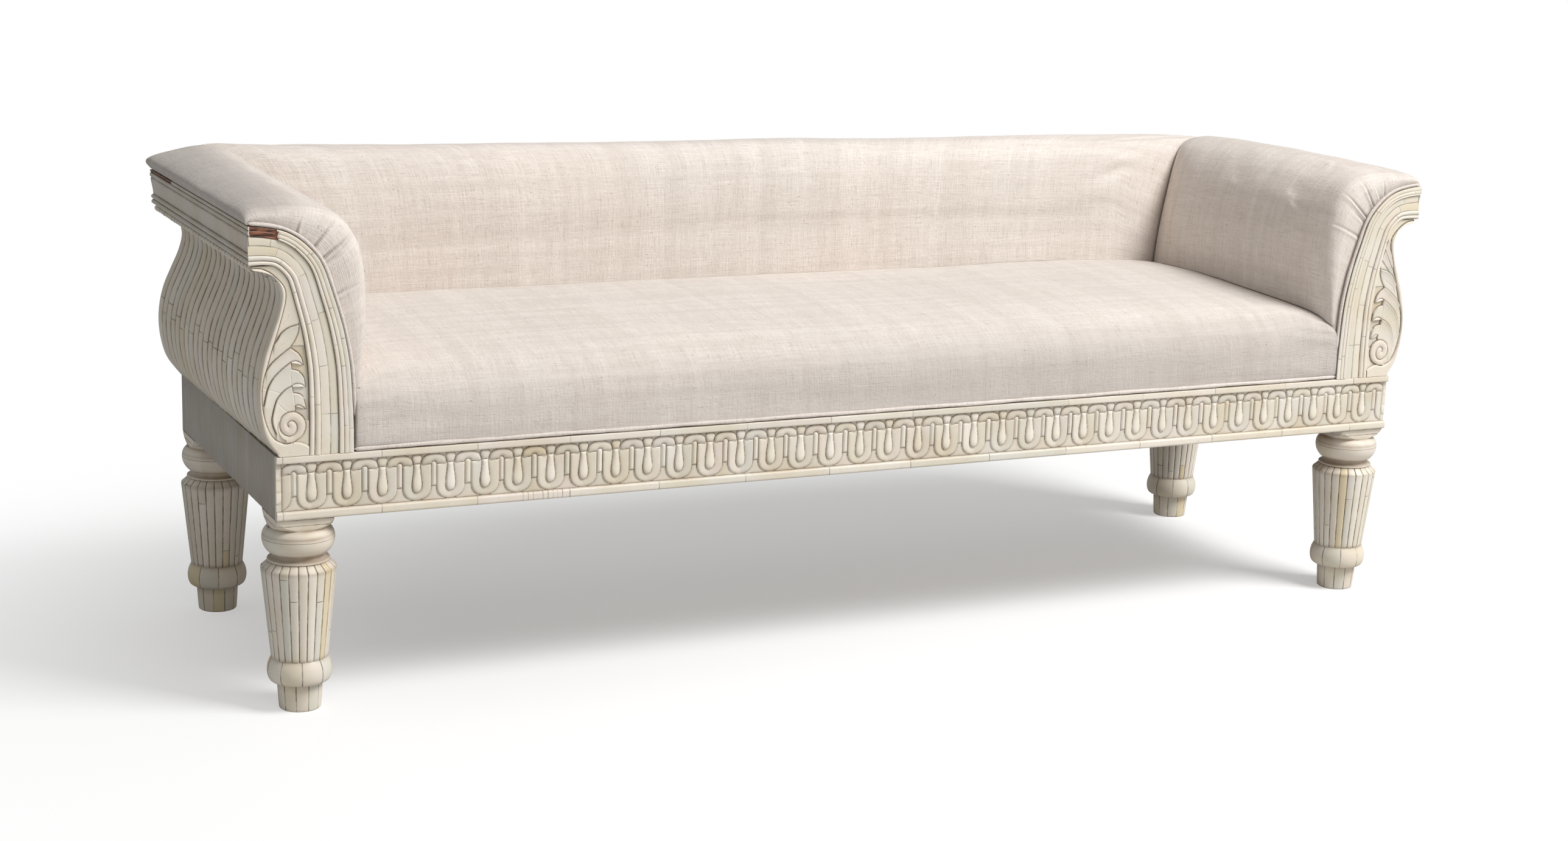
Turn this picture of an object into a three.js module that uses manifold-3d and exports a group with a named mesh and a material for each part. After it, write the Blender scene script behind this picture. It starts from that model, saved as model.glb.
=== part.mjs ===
// A long low sofa with scrolled arms. A hardwood frame is faced with carved and reeded strips of bone,
// and the seat, back and arms carry fixed stuffing under linen.
// Millimetres, +Z up, X along the sofa, the front towards -Y, the origin on the floor under its middle.

import * as THREE from 'three';
import { mergeVertices } from 'three/addons/utils/BufferGeometryUtils.js';
import Module from 'manifold-3d';

// Joints: the clearance between pieces that touch, and between stuffing and what it meets
const gap = 0.3;
const softGap = 1;
const cutOverrun = 20;

// Seat frame
const frameLength = 1900;
const frameDepth = 588;
const railTop = 376;
const railHeight = 91;
const railThickness = 40;
const facing = 6;
const tenonThickness = 12;
const tenonHeight = 56;
const tenonLength = 26;
const bearerWidth = 44;
const bearerHeight = 34;
const bearerDrop = 4;
const bearerCount = 3;
const braceReach = 84;
const braceThickness = 22;
const braceHeight = 60;

// Webbing and canvas that carry the seat
const webTack = 16;
const webThickness = 1.8;
const webWidth = 56;
const webCountAlong = 4;
const webCountAcross = 13;
const canvasThickness = 4;
const seatCanvasThickness = 1.6;

// Legs: turned, with a square head let in between the rails
const legInset = 41;
const reedCount = 24;
const footHeight = 40;
const footRadius = 29.5;
const footTopRadius = 32;
const ringHeight = 36;
const ringRadius = 45.5;
const ringSeatRadius = 38;
const taperBottomRadius = 40;
const taperTopRadius = 53;
const shoulderHeight = 10;
const collarRadius = 43;
const collarHeight = 3;
const neckRadius = 36;
const neckHeight = 9;
const bulbHeight = 37;
const bulbRadius = 50.7;
const bulbSeatRadius = 40;
const pommelDrop = 18;

// Bone on the front rail
const filletReach = 6;
const topFilletHeight = 10;
const lowerFilletHeight = 13;
const friezePitch = 50;
const shieldWidth = 38;
const shieldLift = 2.6;
const archWidth = 44;
const archLift = 4.2;
const archRise = 21;
const reliefBed = 3;
const arcSteps = 6;

// Arms and back: the line where the stuffing meets the bone rises from the rail and rolls outwards
const armHeight = 320;
const armSetback = 109;
const backSetback = 51.3;
const corniceReach = 35;
const corniceDepth = 25;
const corniceHeight = 55;
const beadRadius = 4.5;
const beadInset = 9;
const bellyReach = 22;
const panelFlare = 7.5;
const panelThickness = 8;
const curlDrop = 6.6;
const postThickness = 38;
const rearPostThickness = 30;
const rearPostLead = 13;
const uprightWidth = 34;
const uprightSpacing = 600;
const tackingRailWidth = 20;
const tackingRailHeight = 28;

// Bone mouldings on the front of each arm, counted out from the stuffing
const filletBand = 21;
const coveBand = 25;
const reedBand = 17;
const coveSink = 3.5;
const reedSink = 1.5;
const leafSink = 4;
const rimBand = 9;
const rimSink = 1;
const voluteRadius = 17.6;
const voluteSink = 1;
const voluteAcross = 21;
const voluteUp = 40;

// Stuffing
const seatRise = 124;
const seatSideClearance = 3;
const padOverhang = 5;
const weltRadius = 3;
const weltSetback = 1.5;
const weltSteps = 20;
const seatWeltRadius = 4;
const weltSides = 6;

// Shares: a line's points as parts of its own width and height
const rollShares = [
  [0, 0], [0, 0.11], [0.01, 0.22], [0.035, 0.39], [0.1, 0.55], [0.19, 0.69],
  [0.3, 0.83], [0.45, 0.915], [0.62, 0.967], [0.8, 0.99], [1, 1],
];
const scrollShares = [
  [-0.23, 0], [0.55, 0.09], [0.86, 0.17], [1, 0.317], [0.73, 0.506], [0.14, 0.63],
  [-0.36, 0.75], [-0.5, 0.845], [-0.23, 0.92], [0.3, 0.957],
];
const curlReachShare = 0.95;
const scrollTipShare = [1.36, 0.981];
const corniceShares = [
  [0, 0], [0.84, 0], [0.92, 0.07], [0.92, 0.11], [0.84, 0.14], [0.94, 0.19], [0.94, 0.24],
  [0.85, 0.29], [0.86, 0.42], [0.92, 0.56], [0.97, 0.7], [0.94, 0.76], [1, 0.8], [1, 0.87],
  [0.95, 0.89], [1, 0.92], [1, 0.97], [0.95, 0.985], [0, 0.85],
];
const bulbShares = [[0, 0], [0.55, 0.16], [0.93, 0.38], [1, 0.57], [0.86, 0.82], [0.42, 1]];
const ringShares = [[0, 0], [0.62, 0.1], [0.95, 0.3], [1, 0.55], [0.85, 0.8], [0.35, 1]];
const pommelShares = [[0, 0], [0.24, 0.14], [0.53, 0.34], [0.82, 0.66], [1, 1]];
const padFootShare = 0.23;
const padFrontShares = [
  [1, 1.004], [1.035, 1.025], [0.98, 1.052], [0.83, 1.066], [0.55, 1.071], [0.27, 1.056],
  [0.07, 1.005], [-0.06, 0.9], [-0.12, 0.76], [-0.115, 0.575], [-0.08, 0.39], [-0.05, padFootShare],
];
const padMiddleShares = [
  [1, 1.004], [1.035, 1.028], [0.99, 1.058], [0.83, 1.078], [0.55, 1.09], [0.25, 1.08],
  [0.02, 1.03], [-0.14, 0.92], [-0.25, 0.78], [-0.31, 0.6], [-0.31, 0.42], [-0.28, padFootShare],
];
const padBackShares = [
  [1, 1.004], [1.055, 1.03], [1, 1.052], [0.8, 1.066], [0.45, 1.076], [0.08, 1.068],
  [-0.17, 1.01], [-0.27, 0.92], [-0.31, 0.8], [-0.33, 0.6], [-0.33, 0.42], [-0.31, padFootShare],
];
const padCornerShares = [
  [1, 1.004], [1.05, 1.02], [1, 1.042], [0.8, 1.054], [0.48, 1.05], [0.28, 1],
  [0.16, 0.9], [0.06, 0.78], [-0.06, 0.62], [-0.14, 0.48], [-0.18, 0.36], [-0.2, padFootShare],
];
const padLeftCornerShares = [
  [1, 1.004], [1.055, 1.025], [1.02, 1.05], [0.85, 1.08], [0.5, 1.118], [0.24, 1.09],
  [0.08, 1.01], [-0.01, 0.88], [-0.09, 0.7], [-0.15, 0.54], [-0.18, 0.4], [-0.2, padFootShare],
];
const seatShares = [
  [0.03, 0], [0.006, 0.05], [0, 0.3], [0.006, 0.5], [0.025, 0.66], [0.07, 0.78], [0.16, 0.86],
  [0.35, 0.935], [0.6, 0.985], [0.82, 1], [0.93, 0.98], [0.985, 0.92], [1, 0.8], [1, 0],
];
const canvasReachShare = 0.7;
const bendShare = 0.13;
const curlShare = 0.1;

// Shares of the length at which a stuffed form changes, with how full it is there. The arms' next
// value leads from their front to their middle, and the last value on the arms and back to the corner.
const seatStationShares = [
  [-1, 0.58], [-0.992, 0.74], [-0.972, 0.86], [-0.92, 0.94], [-0.75, 0.98], [-0.4, 1],
  [0.4, 1], [0.75, 0.98], [0.92, 0.94], [0.972, 0.86], [0.992, 0.74], [1, 0.58],
];
const armStationShares = [
  [0, 0.72, 0, 0], [0.015, 0.93, 0, 0], [0.045, 1, 0.02, 0], [0.2, 1, 0.45, 0],
  [0.4, 1, 0.85, 0.05], [0.7, 1, 1, 0.3], [0.92, 1, 1, 0.65],
];
const backStationShares = [
  [-0.93, 1.02, 0.6], [-0.8, 1.04, 0.45], [-0.4, 1.04, 0.2], [0, 1.04, 0], [0.8, 1, 0.1], [0.93, 1, 0.5],
];

// Colours and finishes
const bone = { color: 0xe3dccb, roughness: 0.42, metalness: 0 };
const wood = { color: 0x7b4a31, roughness: 0.6, metalness: 0 };
const linen = { color: 0xdfd5ca, roughness: 0.92, metalness: 0 };
const canvas = { color: 0xb8a27c, roughness: 0.95, metalness: 0 };

// Worked out from the sizes above
const halfLength = frameLength / 2;
const halfDepth = frameDepth / 2;
const railBottom = railTop - railHeight;
const frontFace = -(halfDepth + filletReach);
const coreHalfLength = halfLength - facing;
const coreHalfDepth = halfDepth - facing;
const bedTop = railTop + gap;
const legX = halfLength - legInset;
const legY = halfDepth - legInset;
const headInnerX = legX - legInset;
const headInnerY = legY - legInset;
const armFoot = halfLength - armSetback;
const backFoot = halfDepth - backSetback;
const armRoll = armSetback + corniceReach;
const backRoll = backSetback + corniceReach;
const corniceTop = railTop + armHeight;
const corniceBottom = corniceTop - corniceHeight;
const panelHeight = corniceBottom - railTop;
const corniceBack = corniceReach - corniceDepth;
const bandsWidth = filletBand + coveBand + reedBand;
const frontMitre = -frontFace - corniceReach;
const drawShare = 1 - corniceHeight / bandsWidth;
const plateGap = gap / (1 - bendShare - drawShare);
const webLift = webThickness / 2;
const webTop = bedTop + webLift + webThickness;
const seatBed = webTop + gap + seatCanvasThickness + gap;
const depthCentre = (halfDepth + corniceReach + padOverhang - legY - taperTopRadius) / 2;

const wasm = await Module();
wasm.setup();
const sofa = new THREE.Group();
sofa.position.y = -depthCentre;

function add(name, geometry, finish) {
  const mesh = new THREE.Mesh(geometry, new THREE.MeshStandardMaterial(finish));
  mesh.name = name;
  sofa.add(mesh);
}

// Turns the faces of a closed surface outwards, by the sign of the volume that they enclose.
function outward(geometry) {
  const place = geometry.getAttribute('position');
  const corner = [new THREE.Vector3(), new THREE.Vector3(), new THREE.Vector3()];
  const index = Array.from(geometry.index.array);
  let volume = 0;
  for (let i = 0; i < index.length; i += 3) {
    corner.forEach((c, k) => c.fromBufferAttribute(place, index[i + k]));
    volume += corner[0].dot(corner[1].cross(corner[2]));
  }
  geometry.setIndex(volume < 0 ? index.reverse() : index);
  return geometry;
}

// The triangles that fill an outline, all turned the way that the outline runs.
function capFaces(outline) {
  const turn = Math.sign(THREE.ShapeUtils.area(outline));
  return THREE.ShapeUtils.triangulateShape(outline, []).map((face) => {
    const area = THREE.ShapeUtils.area(face.map((i) => outline[i]));
    return area * turn > 0 ? face : [face[2], face[1], face[0]];
  });
}

// A closed surface through rings of points, with both end rings filled in.
function skin(rings, outline) {
  const count = outline.length;
  const last = (rings.length - 1) * count;
  const index = [];
  for (const [a, b, c] of capFaces(outline)) {
    index.push(c, b, a, last + a, last + b, last + c);
  }
  for (let near = 0; near < last; near += count) {
    const far = near + count;
    for (let i = 0; i < count; i++) {
      const next = (i + 1) % count;
      index.push(near + i, near + next, far + next, near + i, far + next, far + i);
    }
  }
  const places = rings.flat().flatMap((p) => [...p]);
  const geometry = new THREE.BufferGeometry();
  geometry.setAttribute('position', new THREE.Float32BufferAttribute(places, 3));
  geometry.setIndex(index);
  return outward(geometry);
}

// An outline in X and Z carried along Y, between two values or two functions of X.
function alongY(outline, start, end) {
  const at = (limit, p) => (typeof limit === 'function' ? limit(p.x) : limit);
  const ring = (limit) => outline.map((p) => new THREE.Vector3(p.x, at(limit, p), p.y));
  return skin([ring(start), ring(end)], outline);
}

// An outline in Y and Z carried along X in the same way.
function alongX(outline, start, end) {
  const at = (limit, p) => (typeof limit === 'function' ? limit(p.x) : limit);
  const ring = (limit) => outline.map((p) => new THREE.Vector3(at(limit, p), p.x, p.y));
  return skin([ring(start), ring(end)], outline);
}

function block(low, high) {
  const size = high.map((value, i) => value - low[i]);
  const middle = high.map((value, i) => (value + low[i]) / 2);
  return new THREE.BoxGeometry(...size).translate(...middle);
}

// The same piece for the other arm.
function mirrored(geometry) {
  const other = geometry.clone();
  other.scale(-1, 1, 1);
  return outward(other);
}

function addPair(name, geometry, finish) {
  add(`${name}_right`, geometry, finish);
  add(`${name}_left`, mirrored(geometry), finish);
}

function solid(geometry) {
  const bare = geometry.clone();
  bare.deleteAttribute('normal');
  bare.deleteAttribute('uv');
  const merged = mergeVertices(bare);
  const triVerts = [];
  const index = merged.index.array;
  for (let i = 0; i < index.length; i += 3) {
    const [a, b, c] = [index[i], index[i + 1], index[i + 2]];
    if (a !== b && b !== c && c !== a) triVerts.push(a, b, c);
  }
  return new wasm.Manifold(new wasm.Mesh({
    numProp: 3,
    vertProperties: merged.getAttribute('position').array,
    triVerts: new Uint32Array(triVerts),
  }));
}

function geometryOf(manifold) {
  const mesh = manifold.getMesh();
  const geometry = new THREE.BufferGeometry();
  geometry.setAttribute('position', new THREE.BufferAttribute(mesh.vertProperties, mesh.numProp));
  geometry.setIndex(new THREE.BufferAttribute(mesh.triVerts, 1));
  return geometry;
}

function joined(geometries) {
  return geometries.map(solid).reduce((whole, piece) => whole.add(piece));
}

function pointsOf(shares, width, height) {
  return shares.map(([across, up]) => new THREE.Vector2(across * width, up * height));
}

// A smooth line through points.
function smooth(points, steps) {
  return new THREE.SplineCurve(points).getPoints(steps);
}

function shifted(line, x, y) {
  const by = new THREE.Vector2(x, y);
  return line.map((p) => p.clone().add(by));
}

// The same line moved sideways, to the right of the way that it runs.
function offsetLine(line, distance) {
  return line.map((here, i) => {
    const before = line[Math.max(i - 1, 0)];
    const after = line[Math.min(i + 1, line.length - 1)];
    const along = after.clone().sub(before).normalize();
    return new THREE.Vector2(here.x + along.y * distance, here.y - along.x * distance);
  });
}

// The stretch of a rising line that lies below a height, ending on that height.
function below(line, height) {
  const kept = line.filter((p) => p.y < height);
  const [low, high] = [line[kept.length - 1], line[kept.length]];
  const share = (height - low.y) / (high.y - low.y);
  return [...kept, low.clone().lerp(high, share)];
}

function reversed(line) {
  return [...line].reverse();
}

// An outer panel's line moved out by a part of its flare, which dies out in the curl at the top.
function flared(scroll, share) {
  const tip = scroll.at(-1).y;
  return scroll.map((p) => {
    const fade = THREE.MathUtils.clamp((tip - p.y) / (curlShare * panelHeight), 0, 1);
    return new THREE.Vector2(p.x + panelFlare * share * fade, p.y);
  });
}

// Lines of the arms, in X and Z, and of the back, in Y and Z
const lineSteps = 16;
const armLine = shifted(smooth(pointsOf(rollShares, armRoll, armHeight), lineSteps), armFoot, railTop);
const backLine = shifted(smooth(pointsOf(rollShares, backRoll, armHeight), lineSteps), backFoot, railTop);
const curl = new THREE.Vector2(curlReachShare * bellyReach, panelHeight - curlDrop);
const scrollPoints = shifted([...pointsOf(scrollShares, bellyReach, panelHeight), curl], halfLength, railTop);
const armScroll = smooth(scrollPoints, lineSteps);
const backScroll = shifted(flared(armScroll, 1), halfDepth - halfLength, 0);

// The plane on which the arm's and the back's rolls meet at the corner
const mitreSlope = backRoll / armRoll;
const armMitre = (x) => backFoot + (x - armFoot) * mitreSlope - gap;
const backMitre = (y) => armFoot + (y - backFoot) / mitreSlope - gap;

// The outer corner, where the panels and the mouldings meet at 45 degrees
const sideCorner = (x) => halfDepth + (x - halfLength) - gap;
const backCorner = (y) => halfLength + (y - halfDepth) - gap;

// Rails with tenons at both ends, let into the heads of the legs.
function addRails() {
  const middle = railTop - railHeight / 2;
  const tenonZ = [middle - tenonHeight / 2, middle + tenonHeight / 2];
  const railX = headInnerX - gap;
  const railY = headInnerY - gap;
  const inner = coreHalfDepth - railThickness;
  const tenonY = inner + railThickness / 2 - tenonThickness / 2;
  const tenonReachX = railX + tenonLength;
  const long = joined([
    block([-railX, inner, railBottom], [railX, coreHalfDepth, railTop]),
    block([-tenonReachX, tenonY, tenonZ[0]], [tenonReachX, tenonY + tenonThickness, tenonZ[1]]),
  ]);
  add('rear_rail', geometryOf(long), wood);
  add('front_rail', geometryOf(long.rotate([0, 0, 180])), wood);

  const innerX = coreHalfLength - railThickness;
  const tenonX = innerX + railThickness / 2 - tenonThickness / 2;
  const tenonReachY = railY + tenonLength;
  const end = joined([
    block([innerX, -railY, railBottom], [coreHalfLength, railY, railTop]),
    block([tenonX, -tenonReachY, tenonZ[0]], [tenonX + tenonThickness, tenonReachY, tenonZ[1]]),
  ]);
  addPair('end_rail', geometryOf(end), wood);
}

// The outline of a turned leg from the floor up, as radius and height.
function legOutline() {
  const ringFoot = footHeight;
  const taperFoot = ringFoot + ringHeight;
  const bulbFoot = railBottom - pommelDrop - bulbHeight;
  const collarTop = bulbFoot - neckHeight;
  const collarFoot = collarTop - collarHeight;
  const taperTop = collarFoot - shoulderHeight;
  const ring = pointsOf(ringShares, ringRadius - ringSeatRadius, ringHeight);
  const bulb = pointsOf(bulbShares, bulbRadius - bulbSeatRadius, bulbHeight);
  return [
    new THREE.Vector2(0, 0),
    new THREE.Vector2(footRadius, 0),
    new THREE.Vector2(footTopRadius, footHeight),
    ...shifted(ring, ringSeatRadius, ringFoot),
    new THREE.Vector2(taperBottomRadius, taperFoot),
    new THREE.Vector2(taperTopRadius, taperTop),
    new THREE.Vector2(collarRadius, collarFoot),
    new THREE.Vector2(collarRadius, collarTop),
    new THREE.Vector2(neckRadius, collarTop + neckHeight / 2),
    ...shifted(bulb, bulbSeatRadius, bulbFoot),
    new THREE.Vector2(0, bulbFoot + bulbHeight),
  ];
}

function turned(outline) {
  return solid(new THREE.LatheGeometry(outline, reedCount).rotateX(Math.PI / 2));
}

// The square head: its corners are turned away below the rail, which leaves a half moon on each face.
function legHead() {
  const pommelFoot = railBottom - pommelDrop;
  const corner = Math.hypot(legInset, legInset) + gap;
  const pommel = shifted(pointsOf(pommelShares, corner - legInset, pommelDrop), legInset, pommelFoot);
  const round = turned([
    new THREE.Vector2(0, pommelFoot - gap),
    new THREE.Vector2(bulbSeatRadius, pommelFoot - gap),
    ...pommel,
    new THREE.Vector2(corner, railTop + cutOverrun),
    new THREE.Vector2(0, railTop + cutOverrun),
  ]);
  const face = legInset - facing;
  const square = joined([
    block([-legInset, -legInset, pommelFoot - cutOverrun], [legInset, legInset, railBottom - gap]),
    block([-legInset, -legInset, railBottom - facing], [face, face, railTop]),
  ]);
  return round.intersect(square);
}

// A mortise is its tenon's size with the joint's clearance all round.
function mortises() {
  const middle = railTop - railHeight / 2;
  const low = middle - tenonHeight / 2 - gap;
  const high = middle + tenonHeight / 2 + gap;
  const centre = legInset - facing - railThickness / 2;
  const sideLow = centre - tenonThickness / 2 - gap;
  const sideHigh = centre + tenonThickness / 2 + gap;
  const mouth = -legInset - cutOverrun;
  const end = -legInset + tenonLength;
  return joined([
    block([mouth, sideLow, low], [end, sideHigh, high]),
    block([sideLow, mouth, low], [sideHigh, end, high]),
  ]);
}

function addLegs() {
  const leg = turned(legOutline()).add(legHead()).subtract(mortises());
  const rear = geometryOf(leg).translate(legX, legY, 0);
  const front = geometryOf(leg);
  front.scale(1, -1, 1);
  outward(front).translate(legX, -legY, 0);
  addPair('rear_leg', rear, bone);
  addPair('front_leg', front, bone);
}

// Boards set across each corner of the frame, behind the leg's head.
function addCornerBraces() {
  const cornerX = coreHalfLength - railThickness - gap;
  const cornerY = coreHalfDepth - railThickness - gap;
  const middle = railTop - railHeight / 2;
  const long = braceReach + braceThickness * Math.SQRT2;
  const outline = [
    new THREE.Vector2(cornerX - braceReach, cornerY),
    new THREE.Vector2(cornerX, cornerY - braceReach),
    new THREE.Vector2(cornerX, cornerY - long),
    new THREE.Vector2(cornerX - long, cornerY),
  ];
  const ring = (z) => outline.map((p) => new THREE.Vector3(p.x, p.y, z));
  const rear = skin([ring(middle - braceHeight / 2), ring(middle + braceHeight / 2)], outline);
  const front = rear.clone();
  front.scale(1, -1, 1);
  addPair('rear_corner_brace', rear, wood);
  addPair('front_corner_brace', outward(front), wood);
}

function addBearers() {
  const reach = coreHalfDepth - railThickness - gap;
  const top = railTop - bearerDrop;
  const pitch = frameLength / (bearerCount + 1);
  for (let i = 1; i <= bearerCount; i++) {
    const x = -halfLength + i * pitch;
    const low = [x - bearerWidth / 2, -reach, top - bearerHeight];
    add(`seat_bearer_${i}`, block(low, [x + bearerWidth / 2, reach, top]), wood);
  }
}

// Jute webbing, woven both ways and tacked to the tops of the rails, under a sheet of canvas.
function addSeatSupport() {
  const endReach = coreHalfLength - railThickness + webTack;
  const sideReach = coreHalfDepth - railThickness + webTack;
  const front = -coreHalfDepth + postThickness + gap;
  const rear = backFoot - rearPostLead - gap;
  const straps = [];
  for (let i = 0; i < webCountAlong; i++) {
    const y = front + (rear - front - webWidth) * (i / (webCountAlong - 1));
    straps.push(block([-endReach, y, bedTop], [endReach, y + webWidth, bedTop + webThickness]));
  }
  const seatReach = armFoot - seatSideClearance;
  for (let i = 0; i < webCountAcross; i++) {
    const x = -seatReach + (2 * seatReach - webWidth) * (i / (webCountAcross - 1));
    straps.push(block([x, -sideReach, bedTop + webLift], [x + webWidth, sideReach, webTop]));
  }
  add('seat_webbing', geometryOf(joined(straps)), canvas);
  const sheetFoot = webTop + gap;
  const low = [-seatReach, -sideReach, sheetFoot];
  add('seat_canvas', block(low, [seatReach, backFoot - gap, sheetFoot + seatCanvasThickness]), canvas);
}

// One upright tongue of the frieze: a shield with a round foot.
function shieldOutline(x, foot, top) {
  const radius = shieldWidth / 2;
  const outline = [new THREE.Vector2(x + radius, top), new THREE.Vector2(x - radius, top)];
  for (let i = 0; i <= arcSteps; i++) {
    const angle = Math.PI * (1 + i / arcSteps);
    outline.push(new THREE.Vector2(x + radius * Math.cos(angle), foot + radius + radius * Math.sin(angle)));
  }
  return outline;
}

// One half-round arch between two tongues.
function archOutline(x, top) {
  const outline = [];
  for (let i = 0; i <= arcSteps; i++) {
    const angle = Math.PI * (i / arcSteps);
    const across = (archWidth / 2) * Math.cos(angle);
    outline.push(new THREE.Vector2(x + across, top - archRise * (1 - Math.sin(angle))));
  }
  return outline;
}

function addFrontBone() {
  const back = -coreHalfDepth - gap;
  const lowerTop = railBottom + lowerFilletHeight;
  const upperFoot = railTop - topFilletHeight;
  const bed = -halfDepth + reliefBed;
  const reach = halfLength;
  const relief = [block([-reach, -halfDepth, lowerTop + gap], [reach, back, upperFoot - gap])];
  const count = Math.floor(frameLength / friezePitch) - 1;
  for (let i = 0; i < count; i++) {
    const x = (i - (count - 1) / 2) * friezePitch;
    const outline = shieldOutline(x, lowerTop + gap, upperFoot - archRise);
    relief.push(alongY(outline, -halfDepth - shieldLift, bed));
  }
  for (let i = 0; i <= count; i++) {
    const x = (i - count / 2) * friezePitch;
    relief.push(alongY(archOutline(x, upperFoot - gap), -halfDepth - archLift, bed));
  }
  add('front_frieze', geometryOf(joined(relief)), bone);
  add('front_top_fillet', block([-reach, frontFace, upperFoot], [reach, back, railTop]), bone);
  add('front_lower_fillet', block([-reach, frontFace, railBottom], [reach, back, lowerTop]), bone);
}

function addPlainBone() {
  const inner = coreHalfLength + gap;
  const reach = coreHalfDepth;
  addPair('end_rail_bone', block([inner, -reach, railBottom], [halfLength, reach, railTop]), bone);
  const low = [-halfLength, coreHalfDepth + gap, railBottom];
  add('rear_rail_bone', block(low, [halfLength, halfDepth, railTop]), bone);
}

// A line that starts on the rail.
function footed(line, foot = bedTop) {
  const standing = shifted(line, 0, 0);
  standing[0].y = foot;
  return standing;
}

// The region of an arm or of the back between its canvas and its outer panel, up to the top rail.
function uprightOutline(line, scroll, clearance) {
  const top = corniceBottom - gap;
  const inside = below(offsetLine(line, canvasThickness + clearance), top);
  const outside = below(offsetLine(scroll, -panelThickness - gap), top);
  return [...footed(inside), ...reversed(footed(outside))];
}

function addUprights() {
  const front = -coreHalfDepth;
  const frontOutline = uprightOutline(armLine, armScroll, gap);
  addPair('arm_front_post', alongY(frontOutline, front, front + postThickness), wood);
  const rear = backFoot - rearPostLead;
  const clearance = canvasThickness / mitreSlope - canvasThickness + gap;
  const panelEnd = halfDepth + bellyReach + panelFlare;
  const share = (rear + coreHalfDepth) / (panelEnd + coreHalfDepth);
  const rearOutline = uprightOutline(armLine, flared(armScroll, share), clearance);
  addPair('arm_rear_post', alongY(rearOutline, rear, rear + rearPostThickness), wood);
  const low = uprightSpacing / 2 - uprightWidth / 2;
  const upright = solid(alongX(uprightOutline(backLine, backScroll, gap), low, low + uprightWidth));
  const notchBack = backFoot + canvasThickness + gap + tackingRailWidth + gap;
  const notchTop = seatBed + tackingRailHeight + gap;
  const notch = block([low - gap, 0, 0], [low + uprightWidth + gap, notchBack, notchTop]);
  addPair('back_upright', geometryOf(upright.subtract(solid(notch))), wood);
}

// The rail along the top of an arm or of the back, shaped to the underside of the roll.
function topRailOutline(line, limit) {
  const under = offsetLine(line, canvasThickness + gap);
  const kept = under.filter((p) => p.y > corniceBottom && p.x < limit);
  const first = below(under, corniceBottom).at(-1);
  const last = new THREE.Vector2(limit, kept.at(-1).y);
  return [first, ...kept, last, new THREE.Vector2(limit, corniceBottom)];
}

function addTopRails() {
  const armLimit = halfLength + corniceBack - gap;
  const backLimit = halfDepth + corniceBack - gap;
  const end = (x) => Math.min(armMitre(x), backLimit);
  addPair('arm_top_rail', alongY(topRailOutline(armLine, armLimit), -coreHalfDepth, end), wood);
  const outline = topRailOutline(backLine, backLimit);
  add('back_top_rail', alongX(outline, (y) => -backMitre(y), backMitre), wood);
}

// Canvas over the frame, from the tacking rail up and over the roll.
function canvasOutline(line) {
  const reach = line[0].x + canvasReachShare * (line.at(-1).x - line[0].x);
  const kept = line.filter((p) => p.x < reach);
  const outside = offsetLine(line, canvasThickness).slice(0, kept.length);
  return [...footed(kept, seatBed), ...reversed(footed(outside, seatBed))];
}

function addCanvases() {
  addPair('arm_canvas', alongY(canvasOutline(armLine), -coreHalfDepth, armMitre), canvas);
  add('back_canvas', alongX(canvasOutline(backLine), (y) => -backMitre(y), backMitre), canvas);
}

// Rails low down, to which the lower edges of the canvas are tacked.
function addTackingRails() {
  const top = seatBed + tackingRailHeight;
  const inner = armFoot + canvasThickness + gap;
  const front = -coreHalfDepth + postThickness + gap;
  const rear = backFoot - rearPostLead - gap;
  addPair('arm_tacking_rail', block([inner, front, seatBed], [inner + tackingRailWidth, rear, top]), wood);
  const foot = backFoot + canvasThickness + gap;
  const high = [armFoot, foot + tackingRailWidth, top];
  add('back_tacking_rail', block([-armFoot, foot, seatBed], high), wood);
}

// The same outline kept below the underside of the cornice.
function underCornice(outline) {
  return outline.map((p) => new THREE.Vector2(p.x, Math.min(p.y, corniceBottom - gap)));
}

// The S-shaped outer panels, closed at the top by the underside of the cornice.
function panelOutline(scroll) {
  const inside = offsetLine(scroll, -panelThickness);
  return underCornice([...footed(scroll), ...reversed(footed(inside))]);
}

// The arms' panels flare a little towards the rear corner, where the back's panel stands out as far.
function addPanels() {
  const front = panelOutline(armScroll);
  const rear = panelOutline(flared(armScroll, 1));
  const frontRing = front.map((p) => new THREE.Vector3(p.x, -coreHalfDepth, p.y));
  const rearRing = rear.map((p) => new THREE.Vector3(p.x, sideCorner(p.x), p.y));
  addPair('arm_outer_panel', skin([frontRing, rearRing], front), bone);
  add('back_outer_panel', alongX(panelOutline(backScroll), (y) => -backCorner(y), backCorner), bone);
}

// The moulding along the top of the arms and the back, mitred at every corner, over a string of beads.
function addCornices() {
  const shape = shifted(pointsOf(corniceShares, corniceDepth, corniceHeight), corniceBack, corniceBottom);
  const front = (x) => -(frontMitre + x - halfLength);
  const sideShape = shifted(shape, halfLength, 0);
  addPair('arm_cornice', alongY(sideShape, front, sideCorner), bone);
  const backShape = shifted(shape, halfDepth, 0);
  add('back_cornice', alongX(backShape, (y) => -backCorner(y), backCorner), bone);
}

function addBeadStrips() {
  const outline = [];
  for (let i = 0; i < weltSides; i++) {
    const angle = (Math.PI * 2 * (i + 1 / 2)) / weltSides;
    outline.push(new THREE.Vector2(Math.cos(angle), Math.sin(angle)).multiplyScalar(beadRadius));
  }
  const place = shifted(outline, corniceReach - beadInset, corniceBottom - gap - beadRadius);
  addPair('arm_bead_strip', alongY(shifted(place, halfLength, 0), -coreHalfDepth, sideCorner), bone);
  const back = shifted(place, halfDepth, 0);
  add('back_bead_strip', alongX(back, (y) => -backCorner(y), backCorner), bone);
}

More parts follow.
